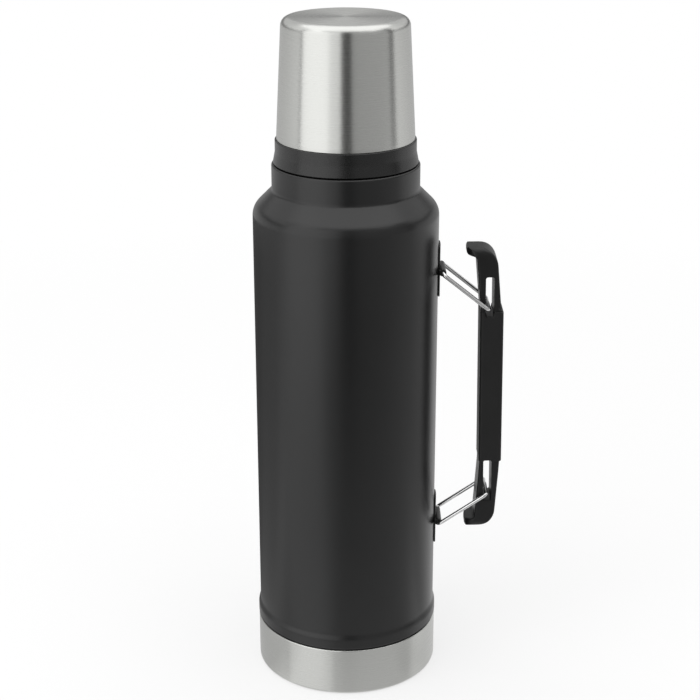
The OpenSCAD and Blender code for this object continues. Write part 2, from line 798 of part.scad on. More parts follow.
// Seal ring in the groove of the plug's boss
module stopper_seal() {
    inner_r = boss_r - seal_groove;
    outer_r = seat_r - seal_play;
    color(silicone_grey) lathe(rounded_path([
        [inner_r, seal_z],
        [boss_r, seal_z],
        [outer_r, seal_z + seal_h / 2, seal_h / 4],
        [boss_r, seal_z + seal_h],
        [inner_r, seal_z + seal_h]]));
}

// Foam disc between the cup's liner and its steel end
module cup_foam() {
    color(foam_white) translate([0, 0, liner_top_z + foam_play]) cylinder(d = cup_foam_d, h = cup_foam_t);
}

// Brushed steel cup
function cup_r(z) = cup_rim_d / 2 - cup_taper * max(0, z - cup_taper_z);

module cup_shell() {
    path = [
        [cup_rim_d / 2, rim_top_z],
        [cup_rim_d / 2, cup_taper_z],
        [cup_top_d / 2, cup_top_z, cup_edge_r],
        [0, cup_top_z]];
    color(steel) lathe(sheet_outline(path, cup_t));
}

// Plastic liner of the cup, with the rim ring and the inner thread
module cup_liner() {
    band = cup_t + liner_play;
    gap = cup_t + cup_air_gap;
    floor_z = liner_top_z - liner_t;
    step_z = liner_band_z + liner_step_h;
    color(plastic_black) {
        lathe(rounded_path([
            [liner_thread_r, rim_z],
            [rim_foot_d / 2, rim_z, rim_edge_r],
            [rim_d / 2, rim_z + rim_foot_h, rim_foot_h],
            [rim_d / 2, rim_top_z, rim_edge_r],
            [cup_r(rim_top_z) - band, rim_top_z],
            [cup_r(cup_taper_z) - band, cup_taper_z],
            [cup_r(liner_band_z) - band, liner_band_z],
            [cup_r(step_z) - gap, step_z],
            [cup_r(liner_top_z) - gap, liner_top_z, liner_corner_r],
            [0, liner_top_z],
            [0, floor_z],
            [cup_r(floor_z) - gap - liner_t, floor_z, liner_corner_r - liner_t],
            [cup_r(step_z) - gap - liner_t, step_z],
            [liner_thread_r, rim_top_z + liner_step_h]]));
        rotate(180 * thread_pitch / thread_lead)
            thread_ridges(liner_thread_r, liner_thread_r - thread_h, neck_top_z + outer_thread_z);
    }
}

outer_shell();
inner_vessel();
radiation_foil();
vacuum_plate();
evacuation_seal();
getter();
base_cap();
upper_bracket();
lower_bracket();
upper_bail();
lower_bail();
handle_frame();
grip_sleeve();
stopper_foam();
stopper_body();
stopper_knob();
stopper_gasket();
stopper_seal();
cup_foam();
cup_shell();
cup_liner();
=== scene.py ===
"""Looks of a vacuum insulated bottle.

It has a painted shell, a steel base cap and cup, a screw stopper and a folding handle. Shapes are
worked out in millimetres in the bottle's own frame, +Z up with the handle on +X, and kept in metres.
"""

import json
import math

import bpy
import numpy as np
from mathutils import Matrix, Vector
from mathutils.geometry import delaunay_2d_cdt


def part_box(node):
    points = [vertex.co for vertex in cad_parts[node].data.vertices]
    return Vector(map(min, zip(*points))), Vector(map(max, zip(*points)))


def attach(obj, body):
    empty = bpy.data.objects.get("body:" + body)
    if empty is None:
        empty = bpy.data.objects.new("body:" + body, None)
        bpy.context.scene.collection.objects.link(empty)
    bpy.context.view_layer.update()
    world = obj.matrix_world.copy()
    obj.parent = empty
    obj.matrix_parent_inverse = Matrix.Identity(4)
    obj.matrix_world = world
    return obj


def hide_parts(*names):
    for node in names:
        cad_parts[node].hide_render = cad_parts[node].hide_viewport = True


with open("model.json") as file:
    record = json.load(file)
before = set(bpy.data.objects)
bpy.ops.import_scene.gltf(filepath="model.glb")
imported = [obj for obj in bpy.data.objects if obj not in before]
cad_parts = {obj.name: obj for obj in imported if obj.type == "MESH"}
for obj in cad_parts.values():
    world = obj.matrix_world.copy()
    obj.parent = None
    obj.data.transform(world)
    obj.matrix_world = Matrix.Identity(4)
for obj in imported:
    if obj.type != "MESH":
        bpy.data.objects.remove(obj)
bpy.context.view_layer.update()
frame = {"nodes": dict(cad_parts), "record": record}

MM = 0.001
record = frame["record"]
body_of = {node: body for body, nodes in record["behaviour"]["bodies"].items() for node in nodes}
slot_of = {part["node"]: part["material_slot"] for part in record["subparts"]}


def span(node):
    """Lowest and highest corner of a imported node, in millimetres."""
    low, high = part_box(node)
    return np.round(np.array(low) / MM, 2), np.round(np.array(high) / MM, 2)


# Mesh density and limits
SEGMENTS = 192
ARC_STEP = math.radians(6)
LONG_ROW = 6.0
THREAD_ROW = 0.35
KNOB_ROW = 0.8
SUPPORT = 0.25
EDGE_SUPPORT = 0.12
EDGE_STEPS = 5
GRID_ROOM = 0.6
STRAP_GRID = 1.5
KNUCKLE_GRID = 0.6
KNUCKLE_STEPS = 48
BORE_STEPS = 32
WIRE_SIDES = 28
WIRE_ARC_STEP = math.radians(9)
WIRE_ROW = 1.5
GRIP_ROW = 1.2
GRIP_GRID = 1.0
SLEEVE_ROWS = 48
LIP_STEPS = 12
SHARP_ANGLE = math.radians(38)
SAME_WALL = 0.01
SAME_PLACE = 1e-6
MERGE_LIMIT = 1e-7

# Shell
shell_low, shell_high = span("outer_shell")
SHELL_T = 0.8
BODY_R = 49.5
SKIRT_R = 49.4
FLARE_Z = 28.4
FLARE_BAND_H = 5.6
FLARE_FADE_H = 2.5
FLARE_ROLL_R = 0.575
FLARE_FADE_R = 5.0
SHOULDER_Z = 277.3
SHOULDER_SLOPE = math.radians(45)
SHOULDER_R = 9.2
NECK_R = 39.2
NECK_TOP_Z = 291.0
NECK_FILLET_R = 2.5
NECK_EDGE_R = 1.0
THREAD_NECK_R = 33.2
THREAD_NECK_H = 13.5
LIP_R = 31.6
LIP_EDGE_R = 1.4
lip_z = shell_high[2]

# Screw threads
THREAD_LEAD = 12.0
THREAD_STARTS = 2
THREAD_TURNS = 0.72
THREAD_H = 1.1
THREAD_FOOT = 2.8
THREAD_CREST = 1.3
THREAD_FADE = 24.0
THREAD_PLAY = 0.5
MATE_TURN = 180.0 / THREAD_STARTS
OUTER_THREAD_Z = NECK_TOP_Z + 2.6
INNER_THREAD_Z = 295.0

# Vessel
vessel_low, vessel_high = span("inner_vessel")
VESSEL_T = 0.6
VESSEL_CORNER_R = 11.0
VESSEL_SHOULDER_R = 12.0
VESSEL_SHOULDER_Z = 269.9
VESSEL_ROOF_Z = 273.9
SEAT_R = 24.3
SEAT_FILLET_R = 4.0
SEAT_Z = 288.0
MOUTH_R = 26.0
MOUTH_BORE_Z = 291.0

# Base cap
base_high = span("base_cap")[1]
BASE_T = 0.8
BASE_EDGE_R = 1.8
BASE_RIM_R = 0.6
BASE_RIM_IN_R = 0.12

# Cup and liner
cup_low, cup_high = span("cup_shell")
liner_low, liner_high = span("cup_liner")
CUP_HEM_H = 2.0
CUP_HEM_ROUND = 0.95
CUP_TOP_R = 33.2
CUP_EDGE_R = 4.5
CUP_T = 0.6
LINER_T = 1.4
LINER_BAND_H = 6.0
LINER_STEP_H = 1.0
LINER_PLAY = 0.1
LINER_GAP = 1.0
LINER_CORNER_R = 3.0
RIM_R = 37.2
RIM_FOOT_H = 6.0
RIM_EDGE_R = 0.6
LINER_THREAD_R = THREAD_NECK_R + THREAD_H + THREAD_PLAY

# Stopper
plug_low, plug_high = span("stopper_body")
knob_low, knob_high = span("stopper_knob")
gasket_low, gasket_high = span("stopper_gasket")
seal_low, seal_high = span("stopper_seal")
PLUG_R = MOUTH_R - THREAD_H - THREAD_PLAY
PLUG_T = 2.9
PLUG_FLOOR_Z = 289.75
PLUG_FLOOR_T = 2.5
PLUG_CONE_Z = 292.2
BOSS_R = 21.8
BOSS_T = 4.3
SEAL_GROOVE = 1.5
SEAL_PEAK = 0.4
SEAL_PEAK_R = 1.0
SPIGOT_T = 2.3
SPIGOT_H = 2.5
SPIGOT_PLAY = 0.1
STOPPER_EDGE_R = 0.6
FLANGE_EDGE_R = 0.8
CHANNEL_W = 12.0
CHANNEL_DEPTH = 1.3
KNOB_T = 2.0
KNOB_EDGE_R = 3.0
KNOB_GROOVES = 14
GROOVE_R = 3.0
GROOVE_DEPTH = 1.0
GROOVE_BAND_H = 3.0
GROOVE_RUN_OUT = 1.5
GASKET_BORE_R = 27.0
GASKET_EDGE_R = 0.4

# Handle
KNUCKLE_R = 1.9
KNUCKLE_L = 17.0
KNUCKLE_WEB_H = 2.8
KNUCKLE_EDGE_R = 0.2
KNUCKLE_ROOT = 0.3
BORE_R = 1.15
STRAP_W = 12.0
STRAP_T = 1.0
STRAP_CORNER_R = 3.0
STRAP_EDGE_R = 0.35
WIRE_R = 1.1
BAIL_L = 32.1
UPPER_BAIL_ANGLE = math.radians(38.8)
LOWER_BAIL_ANGLE = math.radians(34.7)
LEG_Y = 11.0
BEND_R = 1.9
PIN_L = 6.0
grip_half_w = span("handle_frame")[1][1]
GRIP_LIFT = 6.2
GRIP_END_L = 16.3
GRIP_END_R = 4.0
GRIP_EDGE_R = 1.0
FRAME_IN = 4.5
FRAME_OUT = 6.6
FRAME_STRAIGHT_L = 84.0
FRAME_BEND_R = 150.0
END_LEAN = math.radians(4.4)
HOOK_REACH = 12.5
HOOK_T = 4.2
HOOK_ROOT_T = 1.1
HOOK_BACK_R = 11.0
HOOK_TIP_R = 1.6
HOOK_PLAN_R = 6.0
HOOK_INNER_R = 2.5
SLOT_W = 4.6
SLOT_PLAY = 0.6
SLOT_NEAR_ROOM = 4.6
SLOT_TRAVEL = 19.5
SLOT_FAR_ROOM = 5.2
SLOT_CORNER_R = 1.2
SLOT_EDGE_R = 0.35
SLEEVE_OVER = 2.7
SLEEVE_FOOT_OVER = 0.4
SLEEVE_T = 0.6
SLEEVE_SWELL = 0.3
SLEEVE_CORNER_R = 1.6
SLEEVE_LIP_H = 0.6
SLEEVE_NOTCH = 0.1
SLEEVE_NOTCH_ROOM = 0.5
SLEEVE_NOTCH_RUN = 0.8
SLEEVE_FIT = 0.02


def pivot_of(bracket_node):
    """Middle (x, z) of a bracket's knuckle."""
    low, high = span(bracket_node)
    return np.array([high[0] - KNUCKLE_R, (low[2] + high[2]) / 2])


def end_bar(bracket_node, slope):
    """Middle (x, z) of the end bar of the bail that turns in that bracket."""
    return pivot_of(bracket_node) + BAIL_L * np.array([math.cos(slope), -math.sin(slope)])


# The grip lies along the line through both end bars, and its places are measured from its middle
upper_end = end_bar("upper_bracket", UPPER_BAIL_ANGLE)
lower_end = end_bar("lower_bracket", -LOWER_BAIL_ANGLE)
end_span = np.linalg.norm(upper_end - lower_end)
grip_along = (upper_end - lower_end) / end_span
grip_out = np.array([grip_along[1], -grip_along[0]])
slot_offset = SLOT_W / 2 - WIRE_R - SLOT_PLAY
grip_middle = (upper_end + lower_end) / 2 + GRIP_LIFT * grip_along + slot_offset * grip_out
upper_near = end_span / 2 - GRIP_LIFT - SLOT_NEAR_ROOM
lower_near = end_span / 2 + GRIP_LIFT - SLOT_TRAVEL
slot_far = end_span / 2 + GRIP_LIFT + SLOT_FAR_ROOM
grip_top = slot_far + GRIP_END_L
sleeve_top = upper_near + SLEEVE_OVER
sleeve_foot = lower_near + SLEEVE_FOOT_OVER


# Outlines
def unit(v):
    return v / np.linalg.norm(v)


def unit_rows(v):
    return v / np.linalg.norm(v, axis=1)[:, None]


def left_of(v):
    return np.stack([-v[..., 1], v[..., 0]], axis=-1)


def smooth_step(x):
    x = np.clip(x, 0, 1)
    return x * x * (3 - 2 * x)


def corner_arc(before, corner, after, r, step=ARC_STEP):
    """Points of the arc of radius r that rounds a corner."""
    u = unit(before - corner)
    v = unit(after - corner)
    half = math.acos(max(-1.0, min(1.0, float(u @ v)))) / 2
    centre = corner + unit(u + v) * r / math.sin(half)
    start = corner + u * r / math.tan(half) - centre
    end = corner + v * r / math.tan(half) - centre
    sweep = math.atan2(start[0] * end[1] - start[1] * end[0], float(start @ end))
    first = math.atan2(start[1], start[0])
    count = max(2, math.ceil(abs(sweep) / step))
    turns = first + sweep * np.arange(count + 1) / count
    return [centre + r * np.array([math.cos(t), math.sin(t)]) for t in turns]


def rounded(corners, closed=False, step=ARC_STEP):
    """An outline of (u, v) or (u, v, fillet) corners as points, with its fillets as arcs."""
    places = [np.array(c[:2], float) for c in corners]
    last = len(corners) - 1
    points = []
    for i, corner in enumerate(corners):
        at_end = not closed and i in (0, last)
        if at_end or len(corner) < 3 or corner[2] <= 0:
            points.append(places[i])
        else:
            points += corner_arc(places[i - 1], places[i], places[(i + 1) % len(places)], corner[2], step)
    return points


def rectangle(left, right, low, high, r):
    """Corners of a rectangle with fillets of radius r, anticlockwise."""
    return [(left, low, r), (right, low, r), (right, high, r), (left, high, r)]


def moved(path, t, least_fillet=0.05):
    """An open path of corners moved to its left by t, with each fillet following its corner."""
    places = [np.array(c[:2], float) for c in path]
    last = len(path) - 1
    result = []
    for i, corner in enumerate(path):
        inward = unit(places[i] - places[i - 1]) if i > 0 else unit(places[1] - places[0])
        onward = unit(places[i + 1] - places[i]) if i < last else inward
        first = left_of(inward)
        second = left_of(onward)
        place = places[i] + t * (first + second) / (1 + first @ second)
        side = np.sign(second[0] * first[1] - second[1] * first[0])
        fillet = max(least_fillet, corner[2] + side * t) if len(corner) > 2 and corner[2] > 0 else 0
        result.append((place[0], place[1], fillet))
    return result


def sheet_loop(path, t):
    """Closed outline of a sheet of thickness t on the left of a path, or on its right if t is negative."""
    return rounded(path) + rounded(moved(path, t))[::-1]


def with_rows(points, longest=LONG_ROW, fine_r=None):
    """A closed outline with support points beside its corners and no step over longest.

    On a wall of radius fine_r the steps are as fine as a thread needs.
    """
    result = []
    for a, b in zip(points, points[1:] + points[:1]):
        result.append(a)
        length = np.linalg.norm(b - a)
        on_axis = a[0] < SUPPORT and b[0] < SUPPORT
        if on_axis or length < 3 * SUPPORT:
            continue
        fine = fine_r is not None and abs(a[0] - fine_r) + abs(b[0] - fine_r) < SAME_WALL
        count = math.ceil((length - 2 * SUPPORT) / (THREAD_ROW if fine else longest))
        stations = np.linspace(SUPPORT, length - SUPPORT, count + 1) / length
        result += [a + (b - a) * s for s in stations]
    return result


def inset(loop, depth):
    """A closed loop of points moved to its left by depth."""
    first = left_of(unit_rows(loop - np.roll(loop, 1, axis=0)))
    second = left_of(unit_rows(np.roll(loop, -1, axis=0) - loop))
    return loop + depth * (first + second) / (1 + (first * second).sum(axis=1))[:, None]


def inside(points, loops):
    """Which points lie inside an odd number of the loops."""
    odd = np.zeros(len(points), bool)
    x, y = points[:, 0], points[:, 1]
    for loop in loops:
        for (ax, ay), (bx, by) in zip(loop, np.roll(loop, -1, axis=0)):
            if ay != by:
                crosses = (ay > y) != (by > y)
                odd ^= crosses & (x < ax + (y - ay) * (bx - ax) / (by - ay))
    return odd


# Mesh builders
def outward(points, faces):
    """The faces, turned round if they point into the solid."""
    fans = np.array([(face[0], face[i], face[i + 1]) for face in faces for i in range(1, len(face) - 1)])
    a, b, c = points[fans[:, 0]], points[fans[:, 1]], points[fans[:, 2]]
    volume = (a * np.cross(b, c)).sum()
    return faces if volume > 0 else [face[::-1] for face in faces]


def strip(first, second, size):
    """Faces between two closed rings of vertices that start at first and second."""
    nexts = [(i + 1) % size for i in range(size)]
    return [(first + i, first + j, second + j, second + i) for i, j in enumerate(nexts)]


def turned(outline, reshape=None):
    """Points and faces of an (r, z) outline turned round the axis; reshape changes radii by angle."""
    angles = np.arange(SEGMENTS) * 2 * math.pi / SEGMENTS
    points = []
    rows = []
    count = 0
    for r, z in outline:
        if r < SAME_PLACE:
            points.append(np.array([[0.0, 0.0, z]]))
        else:
            radii = np.full(SEGMENTS, r) if reshape is None else reshape(r, z, angles)
            xs, ys = radii * np.cos(angles), radii * np.sin(angles)
            points.append(np.column_stack([xs, ys, np.full(SEGMENTS, z)]))
        rows.append((count, len(points[-1])))
        count += rows[-1][1]
    faces = []
    for (first, size), (second, next_size) in zip(rows, rows[1:] + rows[:1]):
        if size == next_size == SEGMENTS:
            faces += strip(first, second, SEGMENTS)
        elif size == SEGMENTS:
            faces += [(first + i, first + (i + 1) % SEGMENTS, second) for i in range(SEGMENTS)]
        elif next_size == SEGMENTS:
            faces += [(first, second + (i + 1) % SEGMENTS, second + i) for i in range(SEGMENTS)]
    return np.concatenate(points), faces


def edge_rows(half_width, edge_r, wall_step=2.0):
    """Rows of (inset, height) from one face over the rounded edges and the wall to the other face."""
    turns = np.linspace(0, math.pi / 2, EDGE_STEPS + 1)
    arc = [(edge_r * (1 - math.cos(t)), half_width - edge_r * (1 - math.sin(t))) for t in turns]
    arc.append((edge_r + EDGE_SUPPORT, half_width))
    wall = half_width - edge_r
    count = max(2, math.ceil(2 * wall / wall_step))
    middle = [(0.0, h) for h in np.linspace(-wall, wall, count + 1)[1:-1]]
    return [(d, -h) for d, h in reversed(arc)] + middle + arc


def plate(loop, holes, half_width, edge_r, hole_edge_r, grid):
    """Points (u, v, w) and faces of a flat body with rounded edges.

    The loop runs anticlockwise and the holes clockwise.
    """
    points = []
    faces = []
    brims = []
    count = 0
    for outline, r in [(loop, edge_r)] + [(hole, hole_edge_r) for hole in holes]:
        rows = edge_rows(half_width, r)
        size = len(outline)
        for depth, height in rows:
            points.append(np.column_stack([inset(outline, depth), np.full(size, height)]))
        for k in range(len(rows) - 1):
            faces += strip(count + k * size, count + (k + 1) * size, size)
        brims.append(((count, count + (len(rows) - 1) * size), points[-1][:, :2]))
        count += len(rows) * size
    rings = [ring for firsts, ring in brims]
    low = rings[0].min(axis=0)
    high = rings[0].max(axis=0)
    us, vs = np.meshgrid(np.arange(low[0], high[0], grid), np.arange(low[1], high[1], grid))
    inner = np.column_stack([us.ravel(), vs.ravel()])
    inner = inner[inside(inner, rings)]
    edge = np.concatenate(rings)
    apart = np.array([((edge - p) ** 2).sum(axis=1).min() for p in inner])
    inner = inner[apart > (GRID_ROOM * grid) ** 2]
    flat = np.concatenate([edge, inner])
    links = []
    offset = 0
    for ring in rings:
        links += [(offset + i, offset + (i + 1) % len(ring)) for i in range(len(ring))]
        offset += len(ring)
    found = delaunay_2d_cdt([Vector(p) for p in flat], links, [], 0, MERGE_LIMIT)
    found_faces, found_sources = found[2:4]
    origin = [sources[0] for sources in found_sources]
    triangles = np.array([[origin[i] for i in face] for face in found_faces])
    triangles = triangles[inside(flat[triangles].mean(axis=1), rings)]
    for top, height in enumerate((-half_width, half_width)):
        numbers = []
        for firsts, ring in brims:
            numbers += list(range(firsts[top], firsts[top] + len(ring)))
        numbers += list(range(count, count + len(inner)))
        points.append(np.column_stack([inner, np.full(len(inner), height)]))
        count += len(inner)
        faces += [tuple(numbers[i] for i in (t if top else t[::-1])) for t in triangles]
    return np.concatenate(points), faces


def tube(path, normal, radius, sides=WIRE_SIDES):
    """Points and faces of a round wire along a flat path, with its ends closed."""
    across = np.cross(unit_rows(np.gradient(path, axis=0)), normal)
    turns = np.arange(sides) * 2 * math.pi / sides
    rings = [p + radius * (np.outer(np.cos(turns), normal) + np.outer(np.sin(turns), a))
             for p, a in zip(path, across)]
    faces = []
    for k in range(len(rings) - 1):
        faces += strip(k * sides, (k + 1) * sides, sides)
    faces.append(tuple(range(sides))[::-1])
    faces.append(tuple(range((len(rings) - 1) * sides, len(rings) * sides)))
    return np.concatenate(rings), faces


def joined(first, second):
    """Two (points, faces) shapes as one."""
    count = len(first[0])
    faces = first[1] + [tuple(i + count for i in face) for face in second[1]]
    return np.concatenate([first[0], second[0]]), faces


def add_object(name, data):
    made = bpy.data.objects.new(name, data)
    bpy.context.scene.collection.objects.link(made)
    return made


def piece(name, node, shape):
    """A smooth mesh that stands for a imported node, rides on its body and takes its finish."""
    points, faces = shape
    mesh = bpy.data.meshes.new(name)
    mesh.from_pydata((points * MM).tolist(), [], outward(points, faces))
    mesh.materials.append(finishes[slot_of[node]])
    mesh.shade_smooth()
    mesh.set_sharp_from_angle(angle=SHARP_ANGLE)
    made = add_object(name, mesh)
    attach(made, body_of[node])
    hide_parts(node)


# Materials
class Finish:
    """A node material around one Principled shader, with short ways to add and join nodes."""

    def __init__(self, name, values):
        self.material = bpy.data.materials.new(name)
        self.material.use_nodes = True
        self.tree = self.material.node_tree
        self.shader = self.tree.nodes["Principled BSDF"]
        self.place = self.node("TexCoord", {}).outputs["Object"]
        for socket, value in values.items():
            self.set(socket, value)

    def feed(self, socket, value):
        if isinstance(value, bpy.types.NodeSocket):
            self.tree.links.new(value, socket)
        else:
            socket.default_value = value

    def node(self, kind, inputs, **settings):
        """A new shader node of that kind."""
        made = self.tree.nodes.new("ShaderNode" + kind)
        for key, value in settings.items():
            setattr(made, key, value)
        for key, value in inputs.items():
            self.feed(made.inputs[key], value)
        return made

    def axes(self):
        """The x, y and z of the place."""
        apart = self.node("SeparateXYZ", {"Vector": self.place})
        return [apart.outputs[axis] for axis in "XYZ"]

    def noise(self, size, detail):
        """Noise with features of about size millimetres."""
        inputs = {"Vector": self.place, "Scale": 1 / (size * MM), "Detail": detail}
        return self.node("TexNoise", inputs).outputs[0]

    def between(self, value, low, high, start=0.3, end=0.7):
        """The value's stretch from start to end spread over low to high."""
        inputs = {"Value": value, "From Min": start, "From Max": end, "To Min": low, "To Max": high}
        return self.node("MapRange", inputs).outputs[0]

    def colours(self, value, dark, light, start=0.3, end=0.7):
        ramp = self.node("ValToRGB", {"Fac": value})
        for element, position, colour in zip(ramp.color_ramp.elements, (start, end), (dark, light)):
            element.position = position
            element.color = (*colour, 1.0)
        return ramp.outputs["Color"]

    def math(self, operation, first, second):
        return self.node("Math", {0: first, 1: second}, operation=operation).outputs[0]

    def bump(self, height, depth, strength):
        """A bump of depth millimetres."""
        inputs = {"Height": height, "Distance": depth * MM, "Strength": strength}
        return self.node("Bump", inputs).outputs["Normal"]

    def set(self, socket, value):
        self.feed(self.shader.inputs[socket], value)

    def surface(self, pattern, tones, rough, relief=None, cloud=None):
        """The material with its look from one pattern, but for the tones if a cloud is given."""
        self.set("Base Color", self.colours(pattern if cloud is None else cloud, *tones))
        self.set("Roughness", self.between(pattern, *rough))
        if relief is not None:
            self.set("Normal", self.bump(pattern, *relief))
        return self.material

    def turned_back(self, x, y):
        """How far a place lies behind the bottle's middle, as a share of its distance aside."""
        return self.math("DIVIDE", y, self.math("ABSOLUTE", x, 0.0))

    def glow(self, strength):
        return self.node("Emission", {"Color": (1, 1, 1, 1), "Strength": strength}).outputs[0]

    def shown_as(self, shader):
        """The material with that shader as its surface."""
        self.tree.links.new(shader, self.tree.nodes["Material Output"].inputs["Surface"])
        return self.material


def grey(value, tint=(1, 1, 1)):
    return tuple(value * share for share in tint)


STEEL_TINT = (0.993, 1.0, 0.965)
PAINT_TINT = (0.98, 1.0, 1.02)
FINE_STREAK = (30.0, 0.09)
WIDE_STREAK = (70.0, 0.5)
BRUSHED_TONES = (0.985, 1.015)
BRUSHED_ROUGH = (0.95, 1.06)
MOULDED_CLOUD = 18.0
MOULDED_TONES = (0.85, 1.15)
MOULDED_ROUGH = (-0.05, 0.07)
FOAM_CELL = 1.1


def paint_finish():
    """Satin black powder paint: faint orange peel, slightly uneven gloss."""
    finish = Finish("satin_black_paint", {"Specular IOR Level": 0.5})
    peel = finish.noise(0.9, 3.0)
    cloud = finish.noise(35.0, 2.0)
    tones = grey(0.0048, PAINT_TINT), grey(0.0062, PAINT_TINT)
    return finish.surface(peel, tones, rough=(0.29, 0.34), relief=(0.012, 0.35), cloud=cloud)


def brushed_finish(name, base, rough, streak_depth):
    """Stainless steel brushed round the bottle's axis, with fine and wide streaks."""
    finish = Finish(name, {"Metallic": 1.0, "Anisotropic": 0.75, "Anisotropic Rotation": 0.25})
    x, y, z = finish.axes()
    flat = finish.node("VectorMath", {0: finish.place, 1: (1, 1, 0)}, operation="MULTIPLY")
    radius = finish.node("VectorMath", {0: flat.outputs[0]}, operation="LENGTH").outputs["Value"]
    run = finish.math("ADD", z, radius)

    def streaks(length, width):
        """Noise drawn out to streaks of that length and width, in millimetres."""
        across = finish.math("MULTIPLY", run, 1 / (width * MM))
        along_x = finish.math("MULTIPLY", x, 1 / (length * MM))
        along_y = finish.math("MULTIPLY", y, 1 / (length * MM))
        vector = finish.node("CombineXYZ", {"X": along_x, "Y": along_y, "Z": across}).outputs[0]
        return finish.node("TexNoise", {"Vector": vector, "Scale": 1.0, "Detail": 3.0}).outputs[0]

    fine = streaks(*FINE_STREAK)
    wide = streaks(*WIDE_STREAK)
    both = finish.math("MULTIPLY", finish.math("ADD", fine, wide), 0.5)
    tangent = finish.node("Tangent", {}, direction_type="RADIAL", axis="Z").outputs[0]
    finish.set("Tangent", tangent)
    tones = [grey(base * share, STEEL_TINT) for share in BRUSHED_TONES]
    rough_ends = [rough * share for share in BRUSHED_ROUGH]
    return finish.surface(fine, tones, rough_ends, relief=(streak_depth, 0.5), cloud=both)


def moulded_finish(name, base, rough, grain, depth, shine=0.5):
    """Black plastic, rubber or coating with a fine grain."""
    finish = Finish(name, {"Specular IOR Level": shine})
    pits = finish.noise(grain, 4.0)
    cloud = finish.noise(MOULDED_CLOUD, 2.0)
    tones = [grey(base * share) for share in MOULDED_TONES]
    rough_ends = [rough + change for change in MOULDED_ROUGH]
    return finish.surface(pits, tones, rough_ends, relief=(depth, 0.5), cloud=cloud)


def wire_finish():
    """Bright drawn wire, with faint marks from the bending."""
    finish = Finish("bright_wire", {"Metallic": 1.0})
    marks = finish.noise(1.5, 3.0)
    return finish.surface(marks, tones=(grey(0.72), grey(0.82)), rough=(0.09, 0.16), relief=(0.01, 0.25))


def foil_finish():
    """Bright copper foil with soft creases."""
    finish = Finish("copper_foil", {"Metallic": 1.0})
    creases = finish.noise(7.0, 4.0)
    tones = (0.66, 0.36, 0.21), (0.8, 0.48, 0.31)
    return finish.surface(creases, tones, rough=(0.16, 0.28), relief=(0.2, 0.6))


def solder_glass_finish():
    """Opaque greenish solder glass with a flow pattern."""
    finish = Finish("solder_glass", {"Specular IOR Level": 0.6})
    flow = finish.noise(1.2, 2.0)
    tones = (0.24, 0.35, 0.29), (0.36, 0.49, 0.42)
    return finish.surface(flow, tones, rough=(0.12, 0.25))


def powder_finish():
    """Pressed grey getter powder."""
    finish = Finish("getter_powder", {"Specular IOR Level": 0.3})
    grains = finish.noise(0.3, 5.0)
    return finish.surface(grains, tones=(grey(0.27), grey(0.43)), rough=(0.8, 0.95), relief=(0.1, 0.8))


def silicone_finish():
    """Grey silicone rubber with a dusty surface."""
    finish = Finish("grey_silicone", {"Specular IOR Level": 0.45})
    dust = finish.noise(0.6, 4.0)
    tones = grey(0.3, STEEL_TINT), grey(0.38, STEEL_TINT)
    return finish.surface(dust, tones, rough=(0.42, 0.58), relief=(0.02, 0.4))


def foam_finish():
    """Closed-cell foam: small round cells with thin walls."""
    finish = Finish("white_foam", {"Specular IOR Level": 0.25})
    inputs = {"Vector": finish.place, "Scale": 1 / (FOAM_CELL * MM)}
    cells = finish.node("TexVoronoi", inputs).outputs["Distance"]
    finish.set("Base Color", finish.colours(cells, (0.88, 0.86, 0.79), (0.78, 0.75, 0.67), 0.1, 0.7))
    finish.set("Roughness", finish.between(cells, 0.8, 0.95, 0.0, 0.8))
    finish.set("Normal", finish.bump(cells, 0.15, 0.7))
    return finish.material


finishes = {
    "paint": paint_finish(),
    "vessel_steel": brushed_finish("drawn_steel", base=0.58, rough=0.24, streak_depth=0.004),
    "foil": foil_finish(),
    "seal_glass": solder_glass_finish(),
    "getter": powder_finish(),
    "brushed_steel": brushed_finish("brushed_steel", base=0.56, rough=0.28, streak_depth=0.002),
    "bracket_black": moulded_finish(
        "black_coated_steel", base=0.007, rough=0.34, grain=0.5, depth=0.01, shine=0.4),
    "bail_wire": wire_finish(),
    "grip_plastic": moulded_finish(
        "black_grip_plastic", base=0.007, rough=0.40, grain=0.45, depth=0.03, shine=0.35),
    "grip_rubber": moulded_finish(
        "black_soft_sleeve", base=0.008, rough=0.52, grain=0.35, depth=0.03, shine=0.35),
    "foam": foam_finish(),
    "lid_plastic": moulded_finish("black_lid_plastic", base=0.006, rough=0.28, grain=0.5, depth=0.01),
    "silicone": silicone_finish(),
}


# Turned pieces
def ridge(angles, z, start_z, turn=0.0):
    """Share of the full thread height at each angle of a wall at height z."""
    share = np.zeros(len(angles))
    length = THREAD_TURNS * 360
    for start in range(THREAD_STARTS):
        along = (np.degrees(angles) - turn - 360 * start / THREAD_STARTS) % 360
        fade = np.minimum(along, length - along) / THREAD_FADE
        off = np.abs(z - start_z - THREAD_LEAD * along / 360)
        flank = (THREAD_FOOT / 2 - off) / ((THREAD_FOOT - THREAD_CREST) / 2)
        share = np.maximum(share, smooth_step(fade) * smooth_step(flank))
    return share


def threaded(wall_r, height, start_z, turn=0.0):
    """A radius change that raises the thread on a wall; a negative height points inward."""
    def reshape(r, z, angles):
        on_wall = abs(r - wall_r) < SAME_WALL
        return r + (height * ridge(angles, z, start_z, turn) if on_wall else np.zeros(len(angles)))
    return reshape


